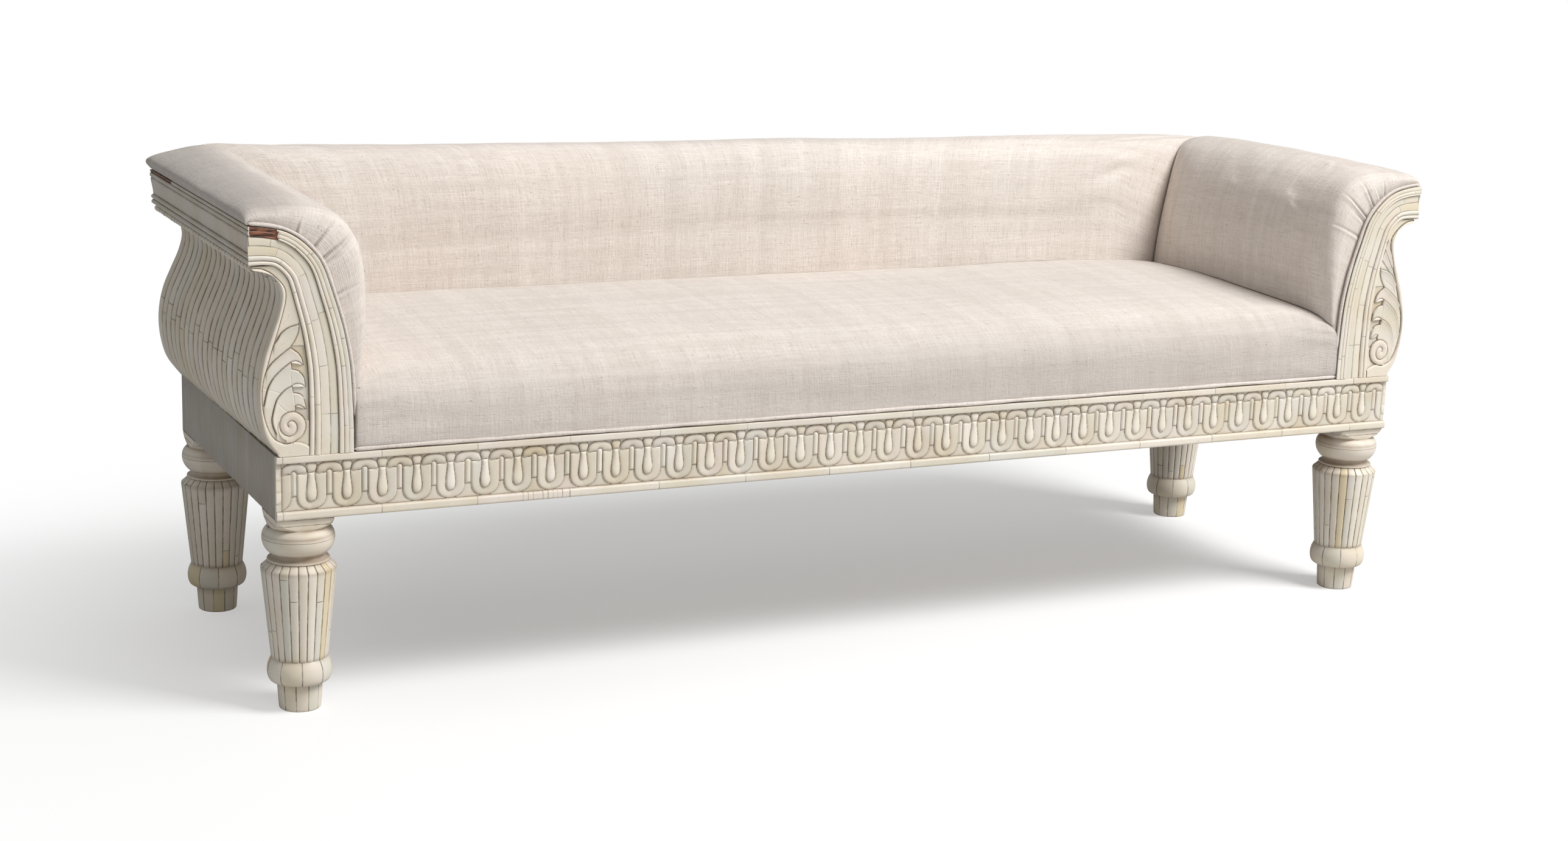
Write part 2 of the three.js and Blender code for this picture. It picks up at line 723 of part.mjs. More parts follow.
// A line of the mouldings, which follow the stuffing's edge. They draw together at its bend, and
// towards their outer end, where they are as deep as the cornice.
function bandLine(distance) {
  const full = offsetLine(armLine, distance);
  const line = armLine.map((p, i) => {
    const along = i / lineSteps;
    const narrowing = bendShare * Math.sin(Math.PI * along ** 2) + drawShare * along;
    return p.clone().lerp(full[i], 1 - narrowing);
  });
  line.at(-1).x = halfLength + corniceReach;
  return footed(line);
}

function band(from, to, sink) {
  const outline = [...bandLine(from), ...reversed(bandLine(to))];
  return alongY(outline, frontFace + sink, -coreHalfDepth - gap);
}

function addArmMouldings() {
  const coveFoot = filletBand + coveBand;
  const whole = joined([
    band(0, filletBand, 0),
    band(filletBand, coveFoot, coveSink),
    band(coveFoot, bandsWidth, reedSink),
  ]);
  const outer = halfLength + corniceReach;
  const depth = -coreHalfDepth - frontFace;
  const plan = [
    new THREE.Vector2(outer, frontFace),
    new THREE.Vector2(outer - depth - cutOverrun, frontFace + depth + cutOverrun),
    new THREE.Vector2(outer + cutOverrun, frontFace + depth + cutOverrun),
    new THREE.Vector2(outer + cutOverrun, frontFace - cutOverrun),
  ];
  const ring = (z) => shifted(plan, -gap, -gap).map((p) => new THREE.Vector3(p.x, p.y, z));
  const mitre = skin([ring(corniceBottom - cutOverrun), ring(corniceTop + cutOverrun)], plan);
  addPair('arm_front_moulding', geometryOf(whole.subtract(solid(mitre))), bone);
}

// The carved plate inside the mouldings: a leaf field with a raised rim and a volute at its foot.
function addLeafPlates() {
  const back = -coreHalfDepth - gap;
  const field = frontFace + leafSink;
  const bed = field + reliefBed;
  const tip = shifted(pointsOf([scrollTipShare], bellyReach, panelHeight), halfLength, railTop);
  const edge = footed(smooth([...scrollPoints, ...tip], lineSteps));
  const inner = bandLine(bandsWidth + plateGap);
  const rim = footed(offsetLine(edge, -rimBand));
  const voluteFront = frontFace + voluteSink;
  const volute = new THREE.CylinderGeometry(voluteRadius, voluteRadius, bed - voluteFront, reedCount);
  const voluteX = armFoot + bandsWidth + gap + voluteAcross;
  volute.translate(voluteX, (bed + voluteFront) / 2, railTop + voluteUp);
  const outline = underCornice([...inner, ...reversed(edge)]);
  const raised = joined([alongY([...edge, ...reversed(rim)], frontFace + rimSink, bed), volute]);
  const within = solid(alongY(outline, frontFace - cutOverrun, back));
  const plate = solid(alongY(outline, field, back)).add(raised.intersect(within));
  addPair('arm_leaf_plate', geometryOf(plate), bone);
}

function addSeat() {
  const halfWidth = armFoot - seatSideClearance;
  const depth = backFoot - softGap - frontFace;
  const rings = seatStationShares.map(([across, rise]) => {
    const outline = pointsOf(seatShares, depth, seatRise * rise);
    return shifted(outline, frontFace, seatBed).map((p) => new THREE.Vector3(across * halfWidth, p.x, p.y));
  });
  const geometry = skin(rings, pointsOf(seatShares, depth, seatRise));
  add('seat_pad', geometry, linen);
  return solid(geometry);
}

// The stretch of a rising line that lies above a height, starting on that height.
function above(line, height) {
  return reversed(below(reversed(line).map((p) => new THREE.Vector2(p.x, -p.y)), -height))
    .map((p) => new THREE.Vector2(p.x, -p.y));
}

function between(from, to, share) {
  return from.map((p, i) => p.clone().lerp(to[i], share));
}

// A pad's section: its bed on the roll, and its outer line between the bed and the full form.
function padSection(line, points, fullness) {
  const bed = above(offsetLine(line, -softGap), points.at(-1).y);
  const outer = smooth(points, lineSteps).slice(1);
  const back = new THREE.SplineCurve(reversed(bed)).getPoints(lineSteps).slice(1);
  return [...bed, ...between(back, outer, fullness)];
}

// A pad is seated on the stuffing below it, with the clearance of soft pieces.
function clearOf(pad, seat) {
  const { min, max } = seat.boundingBox();
  const grow = max.map((high, i) => 1 + (2 * softGap) / (high - min[i]));
  const middle = max.map((high, i) => (high + min[i]) / 2);
  const grown = seat.translate(middle.map((m) => -m)).scale(grow).translate(middle);
  return geometryOf(solid(pad).subtract(grown));
}

function formPoints(shares, line) {
  return shifted(pointsOf(shares, line.at(-1).x - line[0].x, armHeight), line[0].x, railTop);
}

function armPad(cornerShares) {
  const front = frontFace + weltSetback + 2 * weltRadius + softGap;
  const thin = formPoints(padFrontShares, armLine);
  const full = formPoints(padMiddleShares, armLine);
  const corner = formPoints(cornerShares, armLine);
  const rings = armStationShares.map(([along, fullness, middle, end]) => {
    const y = front + along * (backFoot - front);
    const form = between(between(thin, full, middle), corner, end);
    return padSection(armLine, form, fullness).map((p) => new THREE.Vector3(p.x, y, p.y));
  });
  const last = padSection(armLine, corner, 1);
  rings.push(last.map((p) => new THREE.Vector3(p.x, armMitre(p.x) - softGap, p.y)));
  return skin(rings, last);
}

// The stuffing stands higher at the left rear corner than at the right.
function addArmPads(seat) {
  add('arm_pad_right', clearOf(armPad(padCornerShares), seat), linen);
  add('arm_pad_left', clearOf(mirrored(armPad(padLeftCornerShares)), seat), linen);
}

function addBackPad(seat) {
  const full = formPoints(padBackShares, backLine);
  const leftCorner = formPoints(padLeftCornerShares, backLine);
  const rightCorner = formPoints(padCornerShares, backLine);
  const middle = backStationShares.map(([across, fullness, share]) => {
    const form = between(full, across < 0 ? leftCorner : rightCorner, share);
    return padSection(backLine, form, fullness).map((p) => new THREE.Vector3(across * armFoot, p.x, p.y));
  });
  const end = padSection(backLine, rightCorner, 1);
  const reach = (y) => backMitre(y) - softGap;
  const right = end.map((p) => new THREE.Vector3(reach(p.x), p.x, p.y));
  const left = padSection(backLine, leftCorner, 1).map((p) => new THREE.Vector3(-reach(p.x), p.x, p.y));
  add('back_pad', clearOf(skin([left, ...middle, right], end), seat), linen);
}

// Piping along the stuffing's edge on each arm, and along the foot of the seat.
function addWelts() {
  const circle = [];
  for (let i = 0; i < weltSides; i++) {
    const angle = (Math.PI * 2 * i) / weltSides;
    circle.push(new THREE.Vector2(Math.cos(angle), Math.sin(angle)));
  }
  const y = frontFace + weltSetback + weltRadius;
  const foot = railTop + padFootShare * armHeight;
  const line = above(offsetLine(armLine, -weltRadius - gap), foot);
  const path = new THREE.CatmullRomCurve3(line.map((p) => new THREE.Vector3(p.x, y, p.y)));
  const shape = new THREE.Shape(circle.map((p) => p.clone().multiplyScalar(weltRadius)));
  const options = { steps: weltSteps, extrudePath: path };
  addPair('arm_welt', geometryOf(solid(new THREE.ExtrudeGeometry(shape, options))), linen);
  const reach = armFoot - seatSideClearance;
  const round = circle.map((p) => p.clone().multiplyScalar(seatWeltRadius));
  const place = shifted(round, frontFace + seatWeltRadius, bedTop + seatWeltRadius);
  add('seat_welt', alongX(place, -reach, reach), linen);
}

addRails();
addLegs();
addCornerBraces();
addBearers();
addSeatSupport();
addFrontBone();
addPlainBone();
addUprights();
addTopRails();
addTackingRails();
addCanvases();
addPanels();
addCornices();
addBeadStrips();
addArmMouldings();
addLeafPlates();
const seat = addSeat();
addArmPads(seat);
addBackPad(seat);
addWelts();

export default sofa;
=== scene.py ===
import math

import bpy
import numpy as np
from mathutils import Matrix, Vector


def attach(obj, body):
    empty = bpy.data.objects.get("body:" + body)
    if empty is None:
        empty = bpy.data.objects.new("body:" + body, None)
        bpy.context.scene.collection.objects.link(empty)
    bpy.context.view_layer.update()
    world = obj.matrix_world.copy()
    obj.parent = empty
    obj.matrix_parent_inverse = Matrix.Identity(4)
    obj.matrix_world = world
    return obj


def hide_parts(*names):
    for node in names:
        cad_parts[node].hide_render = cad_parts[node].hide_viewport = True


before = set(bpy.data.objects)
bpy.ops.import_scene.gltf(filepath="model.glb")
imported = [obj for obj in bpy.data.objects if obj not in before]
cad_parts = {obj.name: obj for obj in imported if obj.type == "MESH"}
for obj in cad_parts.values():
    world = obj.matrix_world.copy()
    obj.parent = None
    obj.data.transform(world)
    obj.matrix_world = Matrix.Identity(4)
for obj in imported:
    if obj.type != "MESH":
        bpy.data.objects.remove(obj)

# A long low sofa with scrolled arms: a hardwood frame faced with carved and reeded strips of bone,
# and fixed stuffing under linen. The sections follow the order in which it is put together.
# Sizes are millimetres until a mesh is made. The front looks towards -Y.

scene = bpy.context.scene
for spare in [o for o in scene.objects if o.type in {"MESH", "LIGHT", "CAMERA"} and o.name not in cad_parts]:
    bpy.data.objects.remove(spare)
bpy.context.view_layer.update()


# The inner frame: rails, corner braces, bearers, posts and uprights, sawn from a red-brown hardwood,
# jointed and glued. Only its edges show, between the bone and from below.

def linear(colour):
    """An sRGB hex colour as linear red, green, blue and alpha."""
    parts = np.array([int(colour[i:i + 2], 16) / 255 for i in (1, 3, 5)])
    low = parts / 12.92
    high = ((parts + 0.055) / 1.055) ** 2.4
    return (*np.where(parts <= 0.04045, low, high).tolist(), 1.0)


def add(tree, kind, inputs=(), out=0, stops=(), **settings):
    """Adds a node with its settings and gives back one of its outputs. Inputs are numbers, colours or
    sockets to link from, in order or by name, and stops are a ramp's places and colours."""
    made = tree.nodes.new("ShaderNode" + kind)
    for key, value in settings.items():
        setattr(made, key, value)
    for key, value in inputs.items() if isinstance(inputs, dict) else enumerate(inputs):
        if isinstance(value, bpy.types.NodeSocket):
            tree.links.new(value, made.inputs[key])
        elif value is not None:
            made.inputs[key].default_value = value
    if stops:
        made.color_ramp.elements.remove(made.color_ramp.elements[1])
        made.color_ramp.elements[0].position = stops[0][0]
        made.color_ramp.elements[0].color = linear(stops[0][1])
        for place, colour in stops[1:]:
            made.color_ramp.elements.new(place).color = linear(colour)
    return made.outputs[out] if made.outputs else None


def empty_material(name):
    """A material with no nodes, and its tree."""
    material = bpy.data.materials.new(name)
    material.use_nodes = True
    material.node_tree.nodes.clear()
    return material, material.node_tree


def sawn_hardwood(name, grain_along):
    """Beech stained red-brown, sawn and left bare: long brown grain lines, small pores, no gloss.
    Grain lines are 2 to 4 mm apart across the board and run for 200 mm or more."""
    material, tree = empty_material(name)
    place = add(tree, "TexCoord", out="Object")
    stretch = [4.0 if axis == grain_along else 130.0 for axis in "xyz"]
    grained = add(tree, "Mapping", [place, None, None, stretch])
    grain = add(tree, "TexNoise", {0: grained, "Scale": 1.0, "Detail": 5.0, "Roughness": 0.6})
    cloud = add(tree, "TexNoise", {0: place, "Scale": 9.0, "Detail": 2.0})
    tone = add(tree, "ValToRGB", [grain], stops=[
        (0.28, "#3F2014"), (0.45, "#6E3D25"), (0.6, "#8A5234"), (0.75, "#9C6544")])
    faded = add(tree, "Math", [cloud, 0.45], operation="MULTIPLY")
    colour = add(tree, "Mix", {0: faded, 6: tone, 7: linear("#5A3120")}, out=2, data_type="RGBA")
    bump = add(tree, "Bump", {"Strength": 0.35, "Distance": 0.0008, "Height": grain})
    shader = add(tree, "BsdfPrincipled", {"Base Color": colour, "Roughness": 0.72, "Normal": bump})
    add(tree, "OutputMaterial", [shader])
    return material


wood_along = {
    "x": ["rear_rail", "front_rail", "back_top_rail", "back_tacking_rail"],
    "y": ["end_rail_left", "end_rail_right", "seat_bearer_1", "seat_bearer_2", "seat_bearer_3",
          "arm_top_rail_left", "arm_top_rail_right", "arm_tacking_rail_left", "arm_tacking_rail_right",
          "rear_corner_brace_left", "rear_corner_brace_right", "front_corner_brace_left", "front_corner_brace_right"],
    "z": ["arm_front_post_left", "arm_front_post_right", "arm_rear_post_left", "arm_rear_post_right",
          "back_upright_left", "back_upright_right"],
}
for grain_along, names in wood_along.items():
    board = sawn_hardwood(f"sawn_beech_grain_along_{grain_along}", grain_along)
    for name in names:
        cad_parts[name].data.materials.clear()
        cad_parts[name].data.materials.append(board)


# Jute straps, woven over and under each other and tacked to the rails, with canvas laid over them and
# stretched up the inside of the arms and back. They carry the stuffing and show only from below.

def piece_from(name, places, faces, material, flat=None, marks=None, crease=38):
    """A closed mesh from points in millimetres and lists of faces, which are turned outwards by the sign
    of the volume that they enclose: the sum over faces of first corner . (second x third) / 6.
    flat holds a UV place for every face corner. marks holds one number for the piece, or one for each
    point, and points past the end of its numbers, such as those of a plain back, get 0."""
    places = np.asarray(places, float).reshape(-1, 3)
    volume = 0.0
    for group in faces:
        first = places[group[:, 0]]
        for k in range(1, group.shape[1] - 1):
            volume += np.einsum("ij,ij->", first, np.cross(places[group[:, k]], places[group[:, k + 1]]))
    turn = slice(None, None, -1) if volume < 0 else slice(None)
    corners = np.concatenate([group[:, turn].ravel() for group in faces])
    sizes = np.concatenate([np.full(len(group), group.shape[1]) for group in faces])
    mesh = bpy.data.meshes.new(name)
    mesh.vertices.add(len(places))
    mesh.vertices.foreach_set("co", (places * 0.001).ravel())
    mesh.loops.add(len(corners))
    mesh.loops.foreach_set("vertex_index", corners)
    mesh.polygons.add(len(sizes))
    mesh.polygons.foreach_set("loop_start", np.cumsum(sizes) - sizes)
    mesh.polygons.foreach_set("use_smooth", np.ones(len(sizes), bool))
    if flat is not None:
        turned = np.concatenate([group[:, turn].reshape(-1, 2) for group in flat])
        mesh.uv_layers.new(name="strips").data.foreach_set("uv", turned.ravel())
    for mark, values in (marks or {}).items():
        values = np.full(len(places), float(values)) if np.ndim(values) == 0 else np.ravel(values)
        values = np.append(values, np.zeros(len(places) - len(values)))
        mesh.attributes.new(mark, "FLOAT", "POINT").data.foreach_set("value", values)
    mesh.update(calc_edges=True)
    mesh.set_sharp_from_angle(angle=math.radians(crease))
    mesh.materials.append(material)
    piece = bpy.data.objects.new(name, mesh)
    scene.collection.objects.link(piece)
    return piece


def patch(a, b, c, d):
    """Faces of four corners, from four matching grids of point numbers."""
    return np.stack([a.ravel(), b.ravel(), c.ravel(), d.ravel()], 1)


def two_sided(front, back, flat):
    """The points, faces and corner places of a plate between two matching grids (rows, columns, 3):
    both grids, and a strip of faces round their four edges."""
    rows, columns = front.shape[:2]
    near = np.arange(rows * columns).reshape(rows, columns)
    far = near + rows * columns
    groups = np.concatenate([
        patch(near[:-1, :-1], near[:-1, 1:], near[1:, 1:], near[1:, :-1]),
        patch(far[:-1, :-1], far[1:, :-1], far[1:, 1:], far[:-1, 1:]),
        patch(near[0, 1:], near[0, :-1], far[0, :-1], far[0, 1:]),
        patch(near[-1, :-1], near[-1, 1:], far[-1, 1:], far[-1, :-1]),
        patch(near[:-1, 0], near[1:, 0], far[1:, 0], far[:-1, 0]),
        patch(near[1:, -1], near[:-1, -1], far[:-1, -1], far[1:, -1]),
    ])
    places = np.concatenate([front.reshape(-1, 3), back.reshape(-1, 3)])
    spread = np.concatenate([flat.reshape(-1, 2)] * 2)
    return places, [groups], [spread[groups]]


def woven(name, colours, pitch, flecks, rough):
    """Plain weave: threads over and under at right angles, so a point's height is the sum of two sines
    of its places along and across the cloth, in metres on the piece's own UV map. Slubs, the thick
    places in hand-spun yarn, run along single threads, darker ones show as short dashes both ways, and
    bits of husk are left in the yarn. The cloth's own tone drifts slowly between three hues, small
    patches of it are felted by rubbing, and the mark "grime_and_shade" greys it, as soiling and as
    painted shade."""
    plain, pale, dark, cool, warm, husk_brown = colours
    material, tree = empty_material(name)
    place = add(tree, "UVMap", uv_map="strips")
    across = add(tree, "SeparateXYZ", [place])
    along = across.node.outputs[1]
    turns = 2 * math.pi / pitch
    warp = add(tree, "Math", [add(tree, "Math", [across, turns], operation="MULTIPLY")], operation="SINE")
    weft = add(tree, "Math", [add(tree, "Math", [along, turns], operation="MULTIPLY")], operation="SINE")
    weave = add(tree, "Math", [warp, weft], operation="ADD")
    threads = []
    for stretch in ((0.9, 0.045, 1.0), (0.045, 0.9, 1.0)):
        run = add(tree, "Mapping", [place, None, None, [part / pitch for part in stretch]])
        threads.append(add(tree, "TexNoise", {0: run, "Scale": 1.0, "Detail": 3.0, "Roughness": 0.7}))
    both = add(tree, "Math", threads, operation="ADD")
    uneven = add(tree, "Math", [both, 0.5], operation="MULTIPLY")
    tone = add(tree, "ValToRGB", [uneven], stops=[(0.37, dark), (0.47, plain), (0.53, plain), (0.63, pale)])
    cloud = add(tree, "TexNoise", {0: place, "Scale": 2.6, "Detail": 4.0, "Roughness": 0.6})
    hue = add(tree, "ValToRGB", [cloud], stops=[(0.33, cool), (0.5, plain), (0.66, warm)])
    tone = add(tree, "Mix", {0: 0.3, 6: tone, 7: hue}, out=2, data_type="RGBA")
    bands = []
    for stretch in ((34.0, 1.1, 1.0), (1.6, 52.0, 1.0)):
        run = add(tree, "Mapping", [place, None, None, stretch])
        bands.append(add(tree, "TexNoise", {0: run, "Scale": 1.0, "Detail": 4.0, "Roughness": 0.62}))
    band = add(tree, "Math", bands, operation="ADD")
    banded = add(tree, "MapRange", [band, 0.85, 1.15, 0.0, 0.3])
    tone = add(tree, "Mix", {0: banded, 6: tone, 7: linear(dark)}, out=2, data_type="RGBA")
    dashes = []
    for stretch in ((420.0, 46.0, 1.0), (46.0, 420.0, 1.0)):
        run = add(tree, "Mapping", [place, None, None, stretch])
        dash = add(tree, "TexNoise", {0: run, "Scale": 1.0, "Detail": 2.0, "Roughness": 0.5})
        dashes.append(add(tree, "MapRange", [dash, 0.62, 0.74, 0.0, 1.0]))
    dash = add(tree, "Math", dashes, operation="MAXIMUM")
    shaded = add(tree, "Math", [dash, 0.6], operation="MULTIPLY")
    tone = add(tree, "Mix", {0: shaded, 6: tone, 7: linear(dark)}, out=2, data_type="RGBA")
    husk_place = add(tree, "Mapping", [place, None, None, [210.0, 330.0, 1.0]])
    husk = add(tree, "TexNoise", {0: husk_place, "Scale": 1.0, "Detail": 1.0, "Roughness": 0.4})
    husks = add(tree, "MapRange", [husk, 0.745, 0.79, 0.0, flecks])
    tone = add(tree, "Mix", {0: husks, 6: tone, 7: linear(husk_brown)}, out=2, data_type="RGBA")
    felted = add(tree, "TexNoise", {0: place, "Scale": 0.42 / pitch, "Detail": 4.0, "Roughness": 0.75})
    mottled = add(tree, "MapRange", [felted, 0.5, 0.72, 0.0, 0.34])
    tone = add(tree, "Mix", {0: mottled, 6: tone, 7: linear(dark)}, out=2, data_type="RGBA")
    # The mark greys the cloth towards #8C8580: soiling, and painted shade in pleats, in gaps and on faces turned from
    # the lamps.
    soiled_and_shaded = add(tree, "Attribute", out="Fac", attribute_name="grime_and_shade")
    soiled_and_shaded = add(tree, "Math", [soiled_and_shaded, add(tree, "MapRange", [cloud, 0.3, 0.7, 0.8, 1.2])], operation="MULTIPLY")
    tone = add(tree, "Mix", {0: soiled_and_shaded, 6: tone, 7: linear("#8C8580")}, out=2, data_type="RGBA")
    raised = add(tree, "Math", [add(tree, "Math", [uneven, felted], operation="ADD"), 1.9], operation="MULTIPLY")
    rise = add(tree, "Math", [add(tree, "Math", [weave, 0.11], operation="MULTIPLY"), raised], operation="ADD")
    bump = add(tree, "Bump", {"Strength": 0.6, "Distance": pitch * 0.4, "Height": rise})
    shader = add(tree, "BsdfPrincipled", {
        "Base Color": tone, "Roughness": rough, "Normal": bump, "Sheen Weight": 0.15, "Sheen Roughness": 0.5,
        "Specular IOR Level": 0.2})
    add(tree, "OutputMaterial", [shader])
    return material


# Jute gives a coarse, dull brown-yellow weave with threads that show at arm's length.
jute = woven("woven_jute", ["#B59A6C", "#C9B083", "#8C744B", "#A88C5E", "#BDA478", "#5C4A2E"], 0.0022, 0.5, 0.95)

web_width, web_thick = 56.0, 0.9
web_rows = np.linspace(-249.7, 143.4, 4)
web_columns = np.linspace(-838.0, 782.0, 13)
tacked_level, woven_level, over_under = 377.3, 377.65, 0.45
crossing_reach, slope_reach = 24.0, 40.0
straps, strap_faces, strap_flat, count = [], [], [], 0
for along_x, starts, crossing, reach in (
        (True, web_rows, web_columns, (-920.0, 920.0)), (False, web_columns, web_rows, (-278.0, 250.0))):
    run = np.linspace(*reach, 130)
    across = np.linspace(0.0, web_width, 3)
    for index, start in enumerate(starts):
        wave = np.zeros_like(run)
        for k, other in enumerate(crossing):
            middle = other + web_width / 2
            wave += (1 if (k + index) % 2 == 0 else -1) * np.exp(-(((run - middle) / crossing_reach) ** 2))
        height = woven_level + (over_under if along_x else -over_under) * wave
        flatten = np.clip((np.minimum(run - reach[0], reach[1] - run)) / slope_reach, 0, 1)
        height = tacked_level + (height - tacked_level) * flatten
        grid = np.empty((3, len(run), 3))
        grid[..., 0 if along_x else 1] = run
        grid[..., 1 if along_x else 0] = start + across[:, None]
        grid[..., 2] = height
        upper, lower = grid + [0, 0, web_thick / 2], grid - [0, 0, web_thick / 2]
        flat = np.stack(np.broadcast_arrays(run * 0.001, across[:, None] * 0.001 + index), -1)
        places, faces, corner = two_sided(upper, lower, flat)
        straps.append(places)
        strap_faces.append(faces[0] + count)
        strap_flat.append(corner[0])
        count += len(places)
webbing = piece_from("jute_webbing", np.concatenate(straps), [np.concatenate(strap_faces)], jute,
                     [np.concatenate(strap_flat)])
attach(webbing, "root")
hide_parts("seat_webbing")


def through(points, count):
    """A smooth line through points, at count even steps: Catmull-Rom, in which each point's slope is half
    the way from the point before it to the point after it."""
    points = np.asarray(points, float)
    last = len(points) - 1
    where = np.linspace(0, last, count)
    index = np.minimum(where.astype(int), last - 1)
    t = (where - index)[:, None]
    p0, p1 = points[np.maximum(index - 1, 0)], points[index]
    p2, p3 = points[index + 1], points[np.minimum(index + 2, last)]
    v0, v1 = (p2 - p0) / 2, (p3 - p1) / 2
    return (2 * p1 - 2 * p2 + v0 + v1) * t ** 3 + (3 * p2 - 3 * p1 - 2 * v0 - v1) * t ** 2 + v0 * t + p1


def direction(line):
    """The way that a line runs at each of its points, as a step of length 1."""
    along = np.gradient(line, axis=0)
    return along / np.linalg.norm(along, axis=1, keepdims=True)


def length_along(line):
    """How far along a line each of its points lies: the sum of the steps up to it."""
    return np.concatenate([[0], np.cumsum(np.linalg.norm(np.diff(line, axis=0), axis=1))])


def beside(line, distance):
    """The same line moved sideways, to the right of the way that it runs."""
    along = direction(line)
    return line + np.stack([along[:, 1], -along[:, 0]], 1) * np.reshape(distance, (-1, 1))


arm_foot, back_foot, rail_top, arm_height = 841.0, 228.7, 376.0, 320.0
arm_roll, back_roll = 144.0, 86.3
roll = [(0, 0), (0, 0.11), (0.01, 0.22), (0.035, 0.39), (0.1, 0.55), (0.19, 0.69),
        (0.3, 0.83), (0.45, 0.915), (0.62, 0.967), (0.8, 0.99), (1, 1)]
arm_line = through(np.array(roll) * [arm_roll, arm_height] + [arm_foot, rail_top], 161)
back_line = through(np.array(roll) * [back_roll, arm_height] + [back_foot, rail_top], 161)
mitre_slope = back_roll / arm_roll


def arm_end(x):
    """Where an arm's stuffing meets the back's: the plane through the corner of both roll lines."""
    return back_foot + (x - arm_foot) * mitre_slope


def back_end(y):
    """The same plane, read the other way: how far to each side the back's stuffing reaches."""
    return arm_foot + (y - back_foot) / mitre_slope


def hung_canvas(name, front, back, over, size, node):
    """A sheet of canvas between two grids, stretched over the frame. over holds its places across and
    along the cloth. It is 1.4 mm thick on the arms and back and 1.3 mm on the seat."""
    flat = np.stack(np.broadcast_arrays(*over), -1) * 0.001
    places, faces, corner = two_sided(front, back, flat)
    canvas = piece_from(name, places, faces, jute, corner)
    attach(canvas, "root")
    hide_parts(node)


# The seat's canvas lies flat on the webbing, with the slight hollows that the straps leave between them.
x, y = np.meshgrid(np.linspace(-838, 838, 80), np.linspace(-278, 228, 32), indexing="ij")
top = np.stack([x, y, 380.7 + 0.1 * np.sin(x / 20.0) * np.sin(y / 20.0)], -1)
hung_canvas("seat_canvas_sheet", top, top - [0, 0, 1.3], (x, y), (1.676, 0.506), "seat_canvas")

# The canvas of an arm or the back runs from just above the rail to two thirds of the way over the roll,
# and its two faces lie 0.6 and 2.0 mm outside the stuffing's line.
canvas_foot, roll_share, canvas_front, canvas_faces = 381.5, 0.68, -301.0, (0.6, 2.0)
low = int(np.argmax(arm_line[:, 1] > canvas_foot))
reach = int(np.argmax(arm_line[:, 0] > arm_foot + roll_share * arm_roll))
for side, tag in ((1, "right"), (-1, "left")):
    lines = [beside(arm_line, gap)[low:reach] for gap in canvas_faces]
    t = np.linspace(0, 1, 20)
    grids = []
    for line in lines:
        x = np.broadcast_to(line[:, None, 0], (len(line), len(t)))
        y = canvas_front + (arm_end(x) - 1.0 - canvas_front) * t
        grids.append(np.stack([side * x, y, np.broadcast_to(line[:, None, 1], x.shape)], -1))
    run = length_along(lines[0])
    hung_canvas(f"arm_canvas_sheet_{tag}", *grids, (run[:, None], grids[0][..., 1]),
                (round(run[-1] / 1000, 3), 0.56), f"arm_canvas_{tag}")
reach = int(np.argmax(back_line[:, 0] > back_foot + roll_share * back_roll))
grids = []
for line in [beside(back_line, gap)[low:reach] for gap in canvas_faces]:
    y = np.broadcast_to(line[:, None, 0], (len(line), 60))
    x = (back_end(y) - 1.0) * np.linspace(-1, 1, 60)
    grids.append(np.stack([x, y, np.broadcast_to(line[:, None, 1], x.shape)], -1))
run = length_along(grids[0][:, 0, 1:])
hung_canvas("back_canvas_sheet", *grids, (run[:, None], grids[0][..., 0]), (round(run[-1] / 1000, 3), 1.74),
            "back_canvas")


# Four turned legs, faced with bone: a plain foot, a round ring, a taper of 24 flat reeds, a collar and
# neck, a round bulb, and a square head let in between the rails, whose corners are turned away below.

